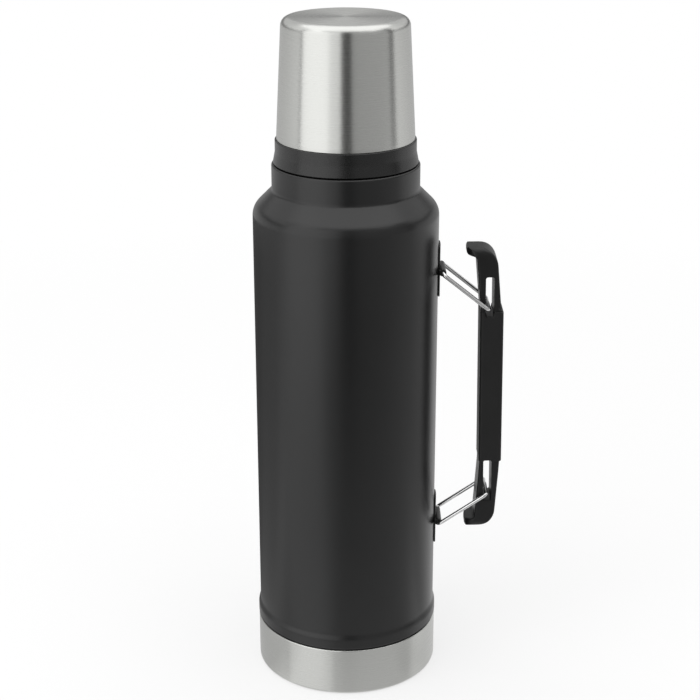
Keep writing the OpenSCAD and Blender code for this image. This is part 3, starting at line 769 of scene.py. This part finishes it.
def painted_shell():
    corner_z = SHOULDER_Z - (BODY_R - NECK_R) * math.tan(SHOULDER_SLOPE)
    fade_z = FLARE_Z + FLARE_BAND_H
    cone_z = NECK_TOP_Z + THREAD_NECK_H
    path = [
        (SKIRT_R, shell_low[2]), (SKIRT_R, FLARE_Z), (shell_high[0], FLARE_Z, FLARE_ROLL_R),
        (shell_high[0], fade_z, FLARE_FADE_R), (BODY_R, fade_z + FLARE_FADE_H, FLARE_FADE_R),
        (BODY_R, corner_z, SHOULDER_R), (NECK_R, SHOULDER_Z, NECK_FILLET_R),
        (NECK_R, NECK_TOP_Z, NECK_EDGE_R), (THREAD_NECK_R, NECK_TOP_Z), (THREAD_NECK_R, cone_z),
        (LIP_R, cone_z + THREAD_NECK_R - LIP_R), (LIP_R, lip_z, LIP_EDGE_R), (MOUTH_R + VESSEL_T, lip_z)]
    outline = with_rows(sheet_loop(path, SHELL_T), fine_r=THREAD_NECK_R)
    return turned(outline, threaded(THREAD_NECK_R, THREAD_H, OUTER_THREAD_Z))


def steel_vessel():
    inner_r = vessel_high[0] - VESSEL_T
    floor_z = vessel_low[2] + VESSEL_T
    path = [
        (0, floor_z), (inner_r, floor_z, VESSEL_CORNER_R), (inner_r, VESSEL_SHOULDER_Z, VESSEL_SHOULDER_R),
        (SEAT_R, VESSEL_ROOF_Z, SEAT_FILLET_R), (SEAT_R, SEAT_Z), (MOUTH_R, MOUTH_BORE_Z), (MOUTH_R, lip_z)]
    outline = with_rows(sheet_loop(path, -VESSEL_T), fine_r=MOUTH_R)
    return turned(outline, threaded(MOUTH_R, -THREAD_H, INNER_THREAD_Z))


def foot_cap():
    path = [(0, 0), (base_high[0], 0, BASE_EDGE_R), (base_high[0], base_high[2])]
    inner = moved(path, BASE_T)
    rim = [(base_high[0], base_high[2], BASE_RIM_R), (base_high[0] - BASE_T, base_high[2], BASE_RIM_IN_R)]
    return turned(with_rows(rounded(path[:-1] + rim + inner[::-1][1:])))


def cup_r(z):
    """Outer radius of the steel cup at height z."""
    taper_z = cup_low[2] + CUP_HEM_H
    taper = (cup_high[0] - CUP_TOP_R) / (cup_high[2] - taper_z)
    return cup_high[0] - taper * max(0.0, z - taper_z)


def steel_cup():
    hem_r = CUP_T / 2 * CUP_HEM_ROUND
    path = [(cup_high[0], cup_low[2]), (cup_high[0], cup_low[2] + CUP_HEM_H),
            (CUP_TOP_R, cup_high[2], CUP_EDGE_R), (0, cup_high[2])]
    inner = moved(path, CUP_T)
    rim = [(cup_high[0] - CUP_T, cup_low[2], hem_r), (cup_high[0], cup_low[2], hem_r)]
    start = (cup_high[0] - CUP_T, cup_low[2] + CUP_HEM_H / 2)
    return turned(with_rows(rounded([start] + rim + path[1:]) + rounded(inner[1:])[::-1]))


def cup_inner():
    band = CUP_T + LINER_PLAY
    gap = CUP_T + LINER_GAP
    rim_z = liner_low[2]
    top_z = liner_high[2]
    floor_z = top_z - LINER_T
    band_z = cup_low[2] + LINER_BAND_H
    step_z = band_z + LINER_STEP_H
    hem_z = cup_low[2] + CUP_HEM_H
    outline = with_rows(rounded([
        (LINER_THREAD_R, rim_z), (liner_high[0], rim_z, RIM_EDGE_R),
        (RIM_R, rim_z + RIM_FOOT_H, RIM_FOOT_H), (RIM_R, cup_low[2], RIM_EDGE_R),
        (cup_r(cup_low[2]) - band, cup_low[2]), (cup_r(hem_z) - band, hem_z),
        (cup_r(band_z) - band, band_z), (cup_r(step_z) - gap, step_z),
        (cup_r(top_z) - gap, top_z, LINER_CORNER_R), (0, top_z), (0, floor_z),
        (cup_r(floor_z) - gap - LINER_T, floor_z, LINER_CORNER_R - LINER_T),
        (cup_r(step_z) - gap - LINER_T, step_z), (LINER_THREAD_R, cup_low[2] + LINER_STEP_H)]),
        fine_r=LINER_THREAD_R)
    return turned(outline, threaded(LINER_THREAD_R, -THREAD_H, OUTER_THREAD_Z, MATE_TURN))


def plug():
    """Threaded plug with its flange, seal groove and two pour channels."""
    core_r = PLUG_R - PLUG_T
    spigot_r = core_r + SPIGOT_T
    boss_z = plug_low[2]
    flange_z = gasket_high[2]
    knob_z = knob_low[2]
    seal_top_z = seal_high[2]
    outline = with_rows(rounded([
        (0, PLUG_FLOOR_Z - PLUG_FLOOR_T), (BOSS_R - BOSS_T, PLUG_FLOOR_Z - PLUG_FLOOR_T),
        (BOSS_R - BOSS_T, boss_z), (BOSS_R, boss_z, STOPPER_EDGE_R), (BOSS_R, seal_low[2]),
        (BOSS_R - SEAL_GROOVE, seal_low[2]), (BOSS_R - SEAL_GROOVE, seal_top_z), (BOSS_R, seal_top_z),
        (PLUG_R, PLUG_CONE_Z), (PLUG_R, flange_z), (plug_high[0], flange_z, STOPPER_EDGE_R),
        (plug_high[0], knob_z, FLANGE_EDGE_R), (spigot_r, knob_z), (spigot_r, knob_z + SPIGOT_H),
        (core_r, knob_z + SPIGOT_H), (core_r, PLUG_FLOOR_Z), (0, PLUG_FLOOR_Z)]), fine_r=PLUG_R)
    raise_thread = threaded(PLUG_R, THREAD_H, INNER_THREAD_Z, MATE_TURN)
    half_angle = math.asin(CHANNEL_W / 2 / PLUG_R)

    def reshape(r, z, angles):
        radii = raise_thread(r, z, angles)
        if seal_top_z < z < flange_z and r > BOSS_R:
            off = np.abs((angles + math.pi / 2) % math.pi - math.pi / 2)
            floor = (PLUG_R - CHANNEL_DEPTH) / np.cos(np.minimum(off, half_angle))
            radii = np.where(off <= half_angle, np.minimum(radii, floor), radii)
        return radii
    return turned(outline, reshape)


def knob():
    """Stopper knob with finger grooves that run out above a plain band."""
    bore_r = PLUG_R - PLUG_T + SPIGOT_T + SPIGOT_PLAY
    low_z, top_z = knob_low[2], knob_high[2]
    outer_r = knob_high[0]
    under_z = top_z - KNOB_T
    outline = with_rows(rounded([
        (bore_r, low_z), (outer_r, low_z, STOPPER_EDGE_R), (outer_r, top_z, KNOB_EDGE_R), (0, top_z),
        (0, under_z), (bore_r, under_z, KNOB_EDGE_R)]), longest=KNOB_ROW)
    groove_x = outer_r + GROOVE_R - GROOVE_DEPTH

    def reshape(r, z, angles):
        if z > under_z and r < outer_r - KNOB_EDGE_R or r < bore_r + KNOB_T / 2:
            return np.full(len(angles), r)
        spacing = 2 * math.pi / KNOB_GROOVES
        off = (angles + spacing / 2) % spacing - spacing / 2
        reach = GROOVE_R ** 2 - (groove_x * np.sin(off)) ** 2
        floor = groove_x * np.cos(off) - np.sqrt(np.maximum(reach, 0))
        cut = np.where(reach > 0, np.maximum(0, r - floor), 0)
        return r - cut * smooth_step((z - low_z - GROOVE_BAND_H) / GROOVE_RUN_OUT)
    return turned(outline, reshape)


def flange_gasket():
    corners = rectangle(GASKET_BORE_R, gasket_high[0], gasket_low[2], gasket_high[2], GASKET_EDGE_R)
    return turned(with_rows(rounded(corners, closed=True)))


def seal_ring():
    mid_z = (seal_low[2] + seal_high[2]) / 2
    inner_r = BOSS_R - SEAL_GROOVE
    return turned(with_rows(rounded([
        (inner_r, seal_low[2]), (BOSS_R, seal_low[2], GASKET_EDGE_R),
        (seal_high[0] + SEAL_PEAK, mid_z, SEAL_PEAK_R),
        (BOSS_R, seal_high[2], GASKET_EDGE_R), (inner_r, seal_high[2])], closed=True)))


# Handle pieces
def in_steps(points, longest):
    """The points of a path without its last, and even steps along its straight stretches."""
    result = []
    for a, b in zip(points, points[1:]):
        count = max(1, math.ceil(np.linalg.norm(b - a) / longest))
        result += [a + (b - a) * i / count for i in range(count)]
    return result


def ring_points(corners, longest):
    """A closed outline with its fillets as arcs and its straight stretches in even steps."""
    points = rounded(corners, closed=True)
    return np.array(in_steps(points + points[:1], longest))


def bracket(node):
    """Strap on the body with the knuckle that a bail turns in."""
    low, high = span(node)
    pivot_x, mid_z = pivot_of(node)
    corners = rectangle(-STRAP_W / 2, STRAP_W / 2, low[2], high[2], STRAP_CORNER_R)
    outline = ring_points(corners, STRAP_GRID)
    points, faces = plate(outline, [], STRAP_T / 2, STRAP_EDGE_R, 0, STRAP_GRID)
    r = BODY_R + STRAP_T / 2 + points[:, 2]
    strap = np.column_stack([np.sqrt(r ** 2 - points[:, 0] ** 2), points[:, 0], points[:, 1]]), faces
    half_web = KNUCKLE_WEB_H / 2
    open_turn = math.pi - math.asin(half_web / KNUCKLE_R)
    arc = [(pivot_x + KNUCKLE_R * math.cos(t), mid_z + KNUCKLE_R * math.sin(t))
           for t in np.linspace(-open_turn, open_turn, KNUCKLE_STEPS + 1)]
    web_x = BODY_R + KNUCKLE_ROOT
    outline = np.array(arc + [(web_x, mid_z + half_web), (web_x, mid_z - half_web)])
    turns = np.linspace(2 * math.pi, 0, BORE_STEPS + 1)[:-1]
    bore = np.column_stack([pivot_x + BORE_R * np.cos(turns), mid_z + BORE_R * np.sin(turns)])
    points, faces = plate(outline, [bore], KNUCKLE_L / 2, KNUCKLE_EDGE_R, KNUCKLE_EDGE_R / 2, KNUCKLE_GRID)
    knuckle = np.column_stack([points[:, 0], -points[:, 2], points[:, 1]]), faces
    return joined(strap, knuckle)


def bail(bracket_node, slope):
    """Bright wire bail from one pin, over its end bar, to the other pin."""
    pivot_x, pivot_z = pivot_of(bracket_node)
    pivot = np.array([pivot_x, 0, pivot_z])
    pin_y = KNUCKLE_L / 2 - PIN_L
    half = [(0, pin_y), (0, LEG_Y, BEND_R), (BAIL_L, LEG_Y, BEND_R)]
    flat = rounded(half + [(u, -v, *r) for u, v, *r in reversed(half)], step=WIRE_ARC_STEP)
    flat = [p for i, p in enumerate(flat) if i == 0 or np.linalg.norm(p - flat[i - 1]) > SAME_PLACE]
    out = np.array([math.cos(slope), 0, -math.sin(slope)])
    side = np.array([0, 1.0, 0])
    path = np.array([pivot + u * out + v * side for u, v in in_steps(flat, WIRE_ROW) + flat[-1:]])
    return tube(path, np.cross(out, side), WIRE_R)


def at_grip(u, v, y):
    """Points at distances out from, along and across the grip's middle, in the bottle's frame."""
    place = grip_middle + np.outer(u, grip_out) + np.outer(v, grip_along)
    return np.column_stack([place[:, 0], y, place[:, 1]])


def width_left(short, r):
    """Share of the grip's half width that is left at depths short into its corners of radius r."""
    short = np.clip(short, 0, r)
    return (grip_half_w - r + np.sqrt(r ** 2 - short ** 2)) / grip_half_w


def grip_frame():
    """Moulded grip with leaning ends, a hook at each end and the two slots for the bails."""
    def lean_in(v):
        return (v - FRAME_STRAIGHT_L / 2) * math.tan(END_LEAN)

    under = grip_top - HOOK_T
    root = under - HOOK_ROOT_T
    half = [(FRAME_OUT, FRAME_STRAIGHT_L / 2, FRAME_BEND_R),
            (FRAME_OUT - lean_in(grip_top), grip_top, HOOK_BACK_R),
            (-HOOK_REACH, grip_top, HOOK_TIP_R), (-HOOK_REACH, under, HOOK_TIP_R),
            (-FRAME_IN - lean_in(root), root, HOOK_INNER_R),
            (-FRAME_IN, FRAME_STRAIGHT_L / 2, FRAME_BEND_R)]
    outline = ring_points(half + [(u, -v, r) for u, v, r in reversed(half)], GRIP_ROW)
    slots = [ring_points(rectangle(-SLOT_W / 2, SLOT_W / 2, low, high, SLOT_CORNER_R)[::-1], GRIP_ROW)
             for low, high in ((upper_near, slot_far), (-slot_far, -lower_near))]
    points, faces = plate(outline, slots, grip_half_w, GRIP_EDGE_R, SLOT_EDGE_R, GRIP_GRID)
    end_left = width_left(GRIP_END_R - (grip_top - np.abs(points[:, 1])), GRIP_END_R)
    tip_left = width_left(HOOK_PLAN_R - (HOOK_REACH + points[:, 0]), HOOK_PLAN_R)
    return at_grip(points[:, 0], points[:, 1], -points[:, 2] * np.minimum(end_left, tip_left)), faces


def bend_in(v):
    """How far the frame's faces have bent towards the bottle at that place along the grip."""
    past = max(0.0, abs(v) - (FRAME_STRAIGHT_L / 2 - FRAME_BEND_R * math.tan(END_LEAN / 2)))
    return FRAME_BEND_R - math.sqrt(FRAME_BEND_R ** 2 - past ** 2)


def section(x_low, x_high, y_half, r, long_steps=36, corner_steps=8):
    """Rounded rectangle with the same number of points for any size."""
    left, right, y = x_low + r, x_high - r, y_half - r
    centres = np.array([(left, -y), (right, -y), (right, y), (left, y)])
    onward = np.roll(centres, -1, axis=0) - centres
    points = []
    for k, centre in enumerate(centres):
        turns = math.pi + math.pi / 2 * (k + np.arange(corner_steps + 1) / corner_steps)
        arc = [centre + r * np.array([math.cos(t), math.sin(t)]) for t in turns]
        points += arc + [arc[-1] + onward[k] * i / long_steps for i in range(1, long_steps)]
    return np.array(points)


def soft_sleeve():
    """Soft sleeve round the grip's middle, with a rolled lip at each end that dips at its slot."""
    half_w = grip_half_w + SLEEVE_T
    outer = section(-FRAME_IN - SLEEVE_T, FRAME_OUT + SLEEVE_T + SLEEVE_SWELL, half_w, SLEEVE_CORNER_R)
    on_side = np.abs(outer[:, 1]) > half_w - SAME_WALL
    into_slot = SLOT_W / 2 + SLEEVE_NOTCH_ROOM - np.abs(outer[:, 0])
    near_slot = np.where(on_side, smooth_step(into_slot / SLEEVE_NOTCH_RUN), 0)
    foot = SLEEVE_LIP_H - sleeve_foot + (SLEEVE_FOOT_OVER + SLEEVE_NOTCH) * near_slot
    top = sleeve_top - SLEEVE_LIP_H - (SLEEVE_OVER + SLEEVE_NOTCH) * near_slot

    def inner_at(v):
        bend = bend_in(v)
        half = grip_half_w + SLEEVE_FIT
        return section(-FRAME_IN - bend - SLEEVE_FIT, FRAME_OUT - bend + SLEEVE_FIT, half, GRIP_EDGE_R)

    def row(flat, v):
        return at_grip(flat[:, 0], v, flat[:, 1])

    def lip(turn, v):
        mix = (1 + math.cos(turn)) / 2
        return mix * outer + (1 - mix) * inner_at(v)

    shares = np.linspace(0, 1, SLEEVE_ROWS + 1)
    turns = np.linspace(0, math.pi, LIP_STEPS + 1)[1:-1]
    rows = [row(outer, foot + share * (top - foot)) for share in shares]
    rows += [row(lip(t, sleeve_top), top + SLEEVE_LIP_H * math.sin(t)) for t in turns]
    for share in shares[::-1]:
        inner = inner_at(share * (sleeve_top + sleeve_foot) - sleeve_foot)
        rows.append(row(inner, foot + share * (top - foot)))
    rows += [row(lip(t, sleeve_foot), foot - SLEEVE_LIP_H * math.sin(t)) for t in turns[::-1]]
    size = len(outer)
    faces = []
    for k in range(len(rows)):
        faces += strip(k * size, (k + 1) % len(rows) * size, size)
    return np.concatenate(rows), faces


piece("painted_shell", "outer_shell", painted_shell())
piece("steel_vessel", "inner_vessel", steel_vessel())
piece("foot_cap", "base_cap", foot_cap())
piece("steel_cup", "cup_shell", steel_cup())
piece("cup_inner", "cup_liner", cup_inner())
piece("plug", "stopper_body", plug())
piece("knob", "stopper_knob", knob())
piece("flange_gasket", "stopper_gasket", flange_gasket())
piece("seal_ring", "stopper_seal", seal_ring())
piece("upper_strap", "upper_bracket", bracket("upper_bracket"))
piece("lower_strap", "lower_bracket", bracket("lower_bracket"))
piece("upper_wire", "upper_bail", bail("upper_bracket", UPPER_BAIL_ANGLE))
piece("lower_wire", "lower_bail", bail("lower_bracket", -LOWER_BAIL_ANGLE))
piece("grip_frame", "handle_frame", grip_frame())
piece("soft_sleeve", "grip_sleeve", soft_sleeve())

for node in ("radiation_foil", "vacuum_plate", "evacuation_seal", "getter", "stopper_foam", "cup_foam"):
    materials = frame["nodes"][node].data.materials
    materials.clear()
    materials.append(finishes[slot_of[node]])


# Camera at the photograph's place
CAMERA_PLACE = (0.0, -0.858, 0.503)
CAMERA_LOOKS_DOWN = 20.29
CAMERA_TILT = math.radians(90 - CAMERA_LOOKS_DOWN)
CAMERA_PAN = math.radians(-0.138)
CAMERA_ROLL = math.radians(-0.075)
CAMERA_LENS = 86.04
CAMERA_SENSOR = 36.0
camera_data = bpy.data.cameras.new("camera")
camera_data.lens = CAMERA_LENS
camera_data.sensor_width = CAMERA_SENSOR
camera = add_object("camera", camera_data)
pan = Matrix.Rotation(CAMERA_PAN, 4, "Z")
tilt = Matrix.Rotation(CAMERA_TILT, 4, "X")
roll = Matrix.Rotation(CAMERA_ROLL, 4, "Z")
camera.matrix_world = Matrix.Translation(CAMERA_PLACE) @ (pan @ tilt @ roll)
bpy.context.scene.camera = camera


# Studio
def softbox(name, place, target, width, height, radiance):
    """A soft rectangular lamp of that radiance that faces the target and isn't seen by the camera."""
    data = bpy.data.lights.new(name, "AREA")
    data.shape = "RECTANGLE"
    data.size = width
    data.size_y = height
    data.energy = math.pi * width * height * radiance
    lamp = add_object(name, data)
    lamp.location = place
    lamp.rotation_euler = (Vector(target) - Vector(place)).to_track_quat("-Z", "Y").to_euler()
    lamp.visible_camera = False
    return lamp


def around(distance, degrees, z):
    """A place at that distance from the bottle, turned from the camera's side towards +X."""
    angle = math.radians(degrees)
    return (distance * math.sin(angle), -distance * math.cos(angle), z)


LAMP_DISTANCE = 1.4
LAMP_LOW_Z = -0.75
KEY_FOOT_Z = -1.1
KEY_STEP_Z = -0.35
LAMP_STEP_Z = -0.24
LAMP_HIGH_Z = 1.5
TOP_LAMP_Z = 1.9
TOP_LAMP_Y = 0.1
TOP_LAMP_SIZE = (3.6, 2.6)
TOP_LAMP_RADIANCE = 1.25

# Upright lamps: name, start and end in degrees, low and high edge, radiance
SIDE_LAMPS = (
    ("key_lamp", -79, -28, KEY_STEP_Z, LAMP_HIGH_Z, 1.5),
    ("key_low_lamp", -79, -28, LAMP_LOW_Z, KEY_STEP_Z, 0.8),
    ("key_foot_lamp", -79, -19, KEY_FOOT_Z, LAMP_LOW_Z, 2.1),
    ("key_side_lamp", -28, -7.5, LAMP_STEP_Z, LAMP_HIGH_Z, 1.15),
    ("fill_lamp", 10, 80, LAMP_STEP_Z, LAMP_HIGH_Z, 0.45),
    ("fill_low_lamp", 10, 80, LAMP_LOW_Z, LAMP_STEP_Z, 0.14))


def side_lamp(name, start, end, low, high, radiance):
    """An upright softbox that fills the directions from start to end degrees, seen from the bottle."""
    width = 2 * LAMP_DISTANCE * math.tan(math.radians(end - start) / 2)
    mid_z = (low + high) / 2
    place = around(LAMP_DISTANCE, (start + end) / 2, mid_z)
    softbox(name, place, (0, 0, mid_z), width, high - low, radiance)


for lamp in SIDE_LAMPS:
    side_lamp(*lamp)
top_place = (0, TOP_LAMP_Y, TOP_LAMP_Z)
top_lamp = softbox("top_lamp", top_place, (0, TOP_LAMP_Y, 0), *TOP_LAMP_SIZE, TOP_LAMP_RADIANCE)
top_lamp.visible_glossy = False


def seen_rays(tree):
    """A value of 1 for rays from the camera, a mirror or glass, and 0 for the rest."""
    path = tree.nodes.new("ShaderNodeLightPath")
    total = path.outputs["Is Camera Ray"]
    for name in ("Is Glossy Ray", "Is Transmission Ray"):
        either = tree.nodes.new("ShaderNodeMath")
        either.operation = "MAXIMUM"
        tree.links.new(total, either.inputs[0])
        tree.links.new(path.outputs[name], either.inputs[1])
        total = either.outputs[0]
    return total


WORLD_LIGHT = 0.5
WORLD_SEEN = 1.0
world = bpy.data.worlds.new("studio")
bpy.context.scene.world = world
world.use_nodes = True
backdrop = world.node_tree.nodes["Background"]
backdrop.inputs["Color"].default_value = (1, 1, 1, 1)
level = world.node_tree.nodes.new("ShaderNodeMapRange")
level.inputs["To Min"].default_value = WORLD_LIGHT
level.inputs["To Max"].default_value = WORLD_SEEN
world.node_tree.links.new(seen_rays(world.node_tree), level.inputs["Value"])
world.node_tree.links.new(level.outputs[0], backdrop.inputs["Strength"])


def plain_mesh(name, points, faces, material):
    mesh = bpy.data.meshes.new(name)
    mesh.from_pydata(points, [], faces)
    mesh.materials.append(material)
    made = add_object(name, mesh)
    return made


def level_sheet(name, low, high, z, material):
    """A level rectangle between two corners of (x, y)."""
    (left, front), (right, back) = low, high
    corners = [(left, front, z), (right, front, z), (right, back, z), (left, back, z)]
    return plain_mesh(name, corners, [(0, 1, 2, 3)], material)


FLOOR_LOOK = {"Base Color": (0.86, 0.86, 0.86, 1), "Roughness": 0.9, "Specular IOR Level": 0.1}
FLOOR_Z = -0.0003
FLOOR_FRONT = -0.6
FLOOR_FADE = (FLOOR_FRONT, 0.21)
FLOOR_HALF = 5.0
FLOOR_GLOW = (0.5, 1.0)
FLOOR_GLOW_REACH = (0.15, 0.9)
FLOOR_ASIDE = (-1.1, -0.4)
FLOOR_MIRROR_DIM = 0.1
# Painted shadow: how much dimmer mirrors show the floor near the bottle on each side, and the distances
# over which it fades out
FLOOR_PAINTED_SHADOW_LEFT = 0.44
FLOOR_PAINTED_SHADOW_LEFT_REACH = (0.08, 0.25)
FLOOR_PAINTED_SHADOW_RIGHT = 0.26
FLOOR_PAINTED_SHADOW_RIGHT_REACH = (0.07, 0.12)


def floor_material():
    """White floor that fades out in front of the bottle and into the white backdrop far behind it.

    Mirrors show it as a plain glow with a painted shadow, which makes it dimmer near the bottle, beside and
    behind it.
    """
    finish = Finish("white_floor", FLOOR_LOOK)
    x, y = finish.axes()[:2]
    distance = finish.node("VectorMath", {0: finish.place}, operation="LENGTH").outputs["Value"]
    glow = finish.between(distance, *FLOOR_GLOW, *FLOOR_GLOW_REACH)
    mirrored = finish.node("LightPath", {}).outputs["Is Glossy Ray"]
    share = finish.math("MAXIMUM", mirrored, finish.math("MULTIPLY", glow, seen_rays(finish.tree)))
    aside = finish.between(finish.turned_back(x, y), 0.0, 1.0, *FLOOR_ASIDE)
    # Painted shadow, seen only in mirrors: the floor's glow darkens near the bottle's sides in place of the
    # shade the bottle casts there
    painted_shadow_left = finish.between(distance, FLOOR_PAINTED_SHADOW_LEFT, 0.0, *FLOOR_PAINTED_SHADOW_LEFT_REACH)
    painted_shadow_right = finish.between(distance, FLOOR_PAINTED_SHADOW_RIGHT, 0.0, *FLOOR_PAINTED_SHADOW_RIGHT_REACH)
    on_left = finish.math("LESS_THAN", x, 0.0)
    near = finish.between(on_left, painted_shadow_right, painted_shadow_left, 0.0, 1.0)
    dim = finish.math("ADD", FLOOR_MIRROR_DIM, finish.math("MULTIPLY", near, aside))
    strength = finish.math("SUBTRACT", 1.0, finish.math("MULTIPLY", mirrored, dim))
    inputs = {0: share, 1: finish.shader.outputs[0], 2: finish.glow(strength)}
    lit = finish.node("MixShader", inputs).outputs[0]
    clear = finish.node("BsdfTransparent", {}).outputs[0]
    solid = finish.between(y, 0.0, 1.0, *FLOOR_FADE)
    return finish.shown_as(finish.node("MixShader", {0: solid, 1: clear, 2: lit}).outputs[0])


level_sheet("floor", (-FLOOR_HALF, FLOOR_FRONT), (FLOOR_HALF, FLOOR_HALF), FLOOR_Z, floor_material())

# Screens that shape what the paint and the steel mirror
SCREEN_STEPS = 36
PANEL_TURN = (-83, 91)
PANEL_R = 2.0
PANEL_LOW_Z = -2.5
PANEL_TOP_Z = 0.9
BORDER_TOP_Z = 2.2
WALL_TURN = (90, 278)
WALL_R = 0.6
WALL_TOP_Z = 0.95
WALL_TONES = (0.95, 0.55)
WALL_RAIL = (0.39, 0.46)
RAIL_BLUR = 0.02
RAIL_TAKES = 0.85
ABOVE_RAIL_TAKES = -0.2
TOP_CARD_TONE = 1.7
CARD_FOOT = (0.0725, 0.0139)
CARD_HEAD = (0.32, 0.19)

# Cards: name, start and end in degrees, tones in front and behind and the ratios they lie at
CARDS = (
    ("left_card", -180, -82, (0.56, 0.12, -0.12, 0.8)),
    ("right_card", 80, 180, (0.6, 0.9, -0.12, 0.4)))


def curved_screen(name, start, end, foot, head, material):
    """A screen round the bottle from start to end degrees, between a foot and a head of (radius, z)."""
    turns = np.linspace(start, end, SCREEN_STEPS + 1)
    size = len(turns)
    points = [around(radius, t, z) for radius, z in (foot, head) for t in turns]
    faces = [(i, i + 1, i + 1 + size, i + size) for i in range(size - 1)]
    return plain_mesh(name, points, faces, material)


def mirrors_only(screen):
    """Lets a screen show in mirrors and glass alone and take no light away."""
    screen.visible_camera = False
    screen.visible_diffuse = False
    screen.visible_shadow = False


def glow_material(name, strength):
    """A glow whose strength is a function of the finish and the place."""
    finish = Finish(name, {})
    return finish.shown_as(finish.glow(strength(finish, *finish.axes())))


def wall_tone(finish, x, y, z):
    """Lighter at the wall's ends, with a dark rail just above the cup and a lighter part over it."""
    low, high = WALL_RAIL
    tone = finish.between(y, *WALL_TONES, 0.0, WALL_R)
    over = finish.between(z, 0.0, 1.0, low - RAIL_BLUR, low)
    takes = finish.between(z, RAIL_TAKES, ABOVE_RAIL_TAKES, high, high + RAIL_BLUR)
    return finish.math("MULTIPLY", tone, finish.math("SUBTRACT", 1.0, finish.math("MULTIPLY", over, takes)))


def card_tone(front, back, start, end):
    """A tone that runs from front to back between two ratios of the place's y to its distance aside."""
    def tone(finish, x, y, z):
        return finish.between(finish.turned_back(x, y), front, back, start, end)

    return tone


panel_edge = (PANEL_R, PANEL_TOP_Z)
black_card = moulded_finish("black_card", base=0.03, rough=0.8, grain=2.0, depth=0.1)
dark_panel = curved_screen("dark_panel", *PANEL_TURN, (PANEL_R, PANEL_LOW_Z), panel_edge, black_card)
dark_panel.visible_camera = False
mirrors_only(curved_screen("dark_border", *PANEL_TURN, panel_edge, (PANEL_R, BORDER_TOP_Z), black_card))
wall_glow = glow_material("grey_wall", wall_tone)
mirrors_only(curved_screen("grey_wall", *WALL_TURN, (WALL_R, FLOOR_Z), (WALL_R, WALL_TOP_Z), wall_glow))
half_x, half_y = TOP_LAMP_SIZE[0] / 2, TOP_LAMP_SIZE[1] / 2
top_glow = glow_material("top_card", lambda finish, x, y, z: TOP_CARD_TONE)
top_low, top_high = (-half_x, TOP_LAMP_Y - half_y), (half_x, TOP_LAMP_Y + half_y)
mirrors_only(level_sheet("top_card", top_low, top_high, TOP_LAMP_Z, top_glow))
for name, start, end, tones in CARDS:
    card_glow = glow_material(name, card_tone(*tones))
    mirrors_only(curved_screen(name, start, end, CARD_FOOT, CARD_HEAD, card_glow))

bpy.context.scene.view_settings.view_transform = "Standard"
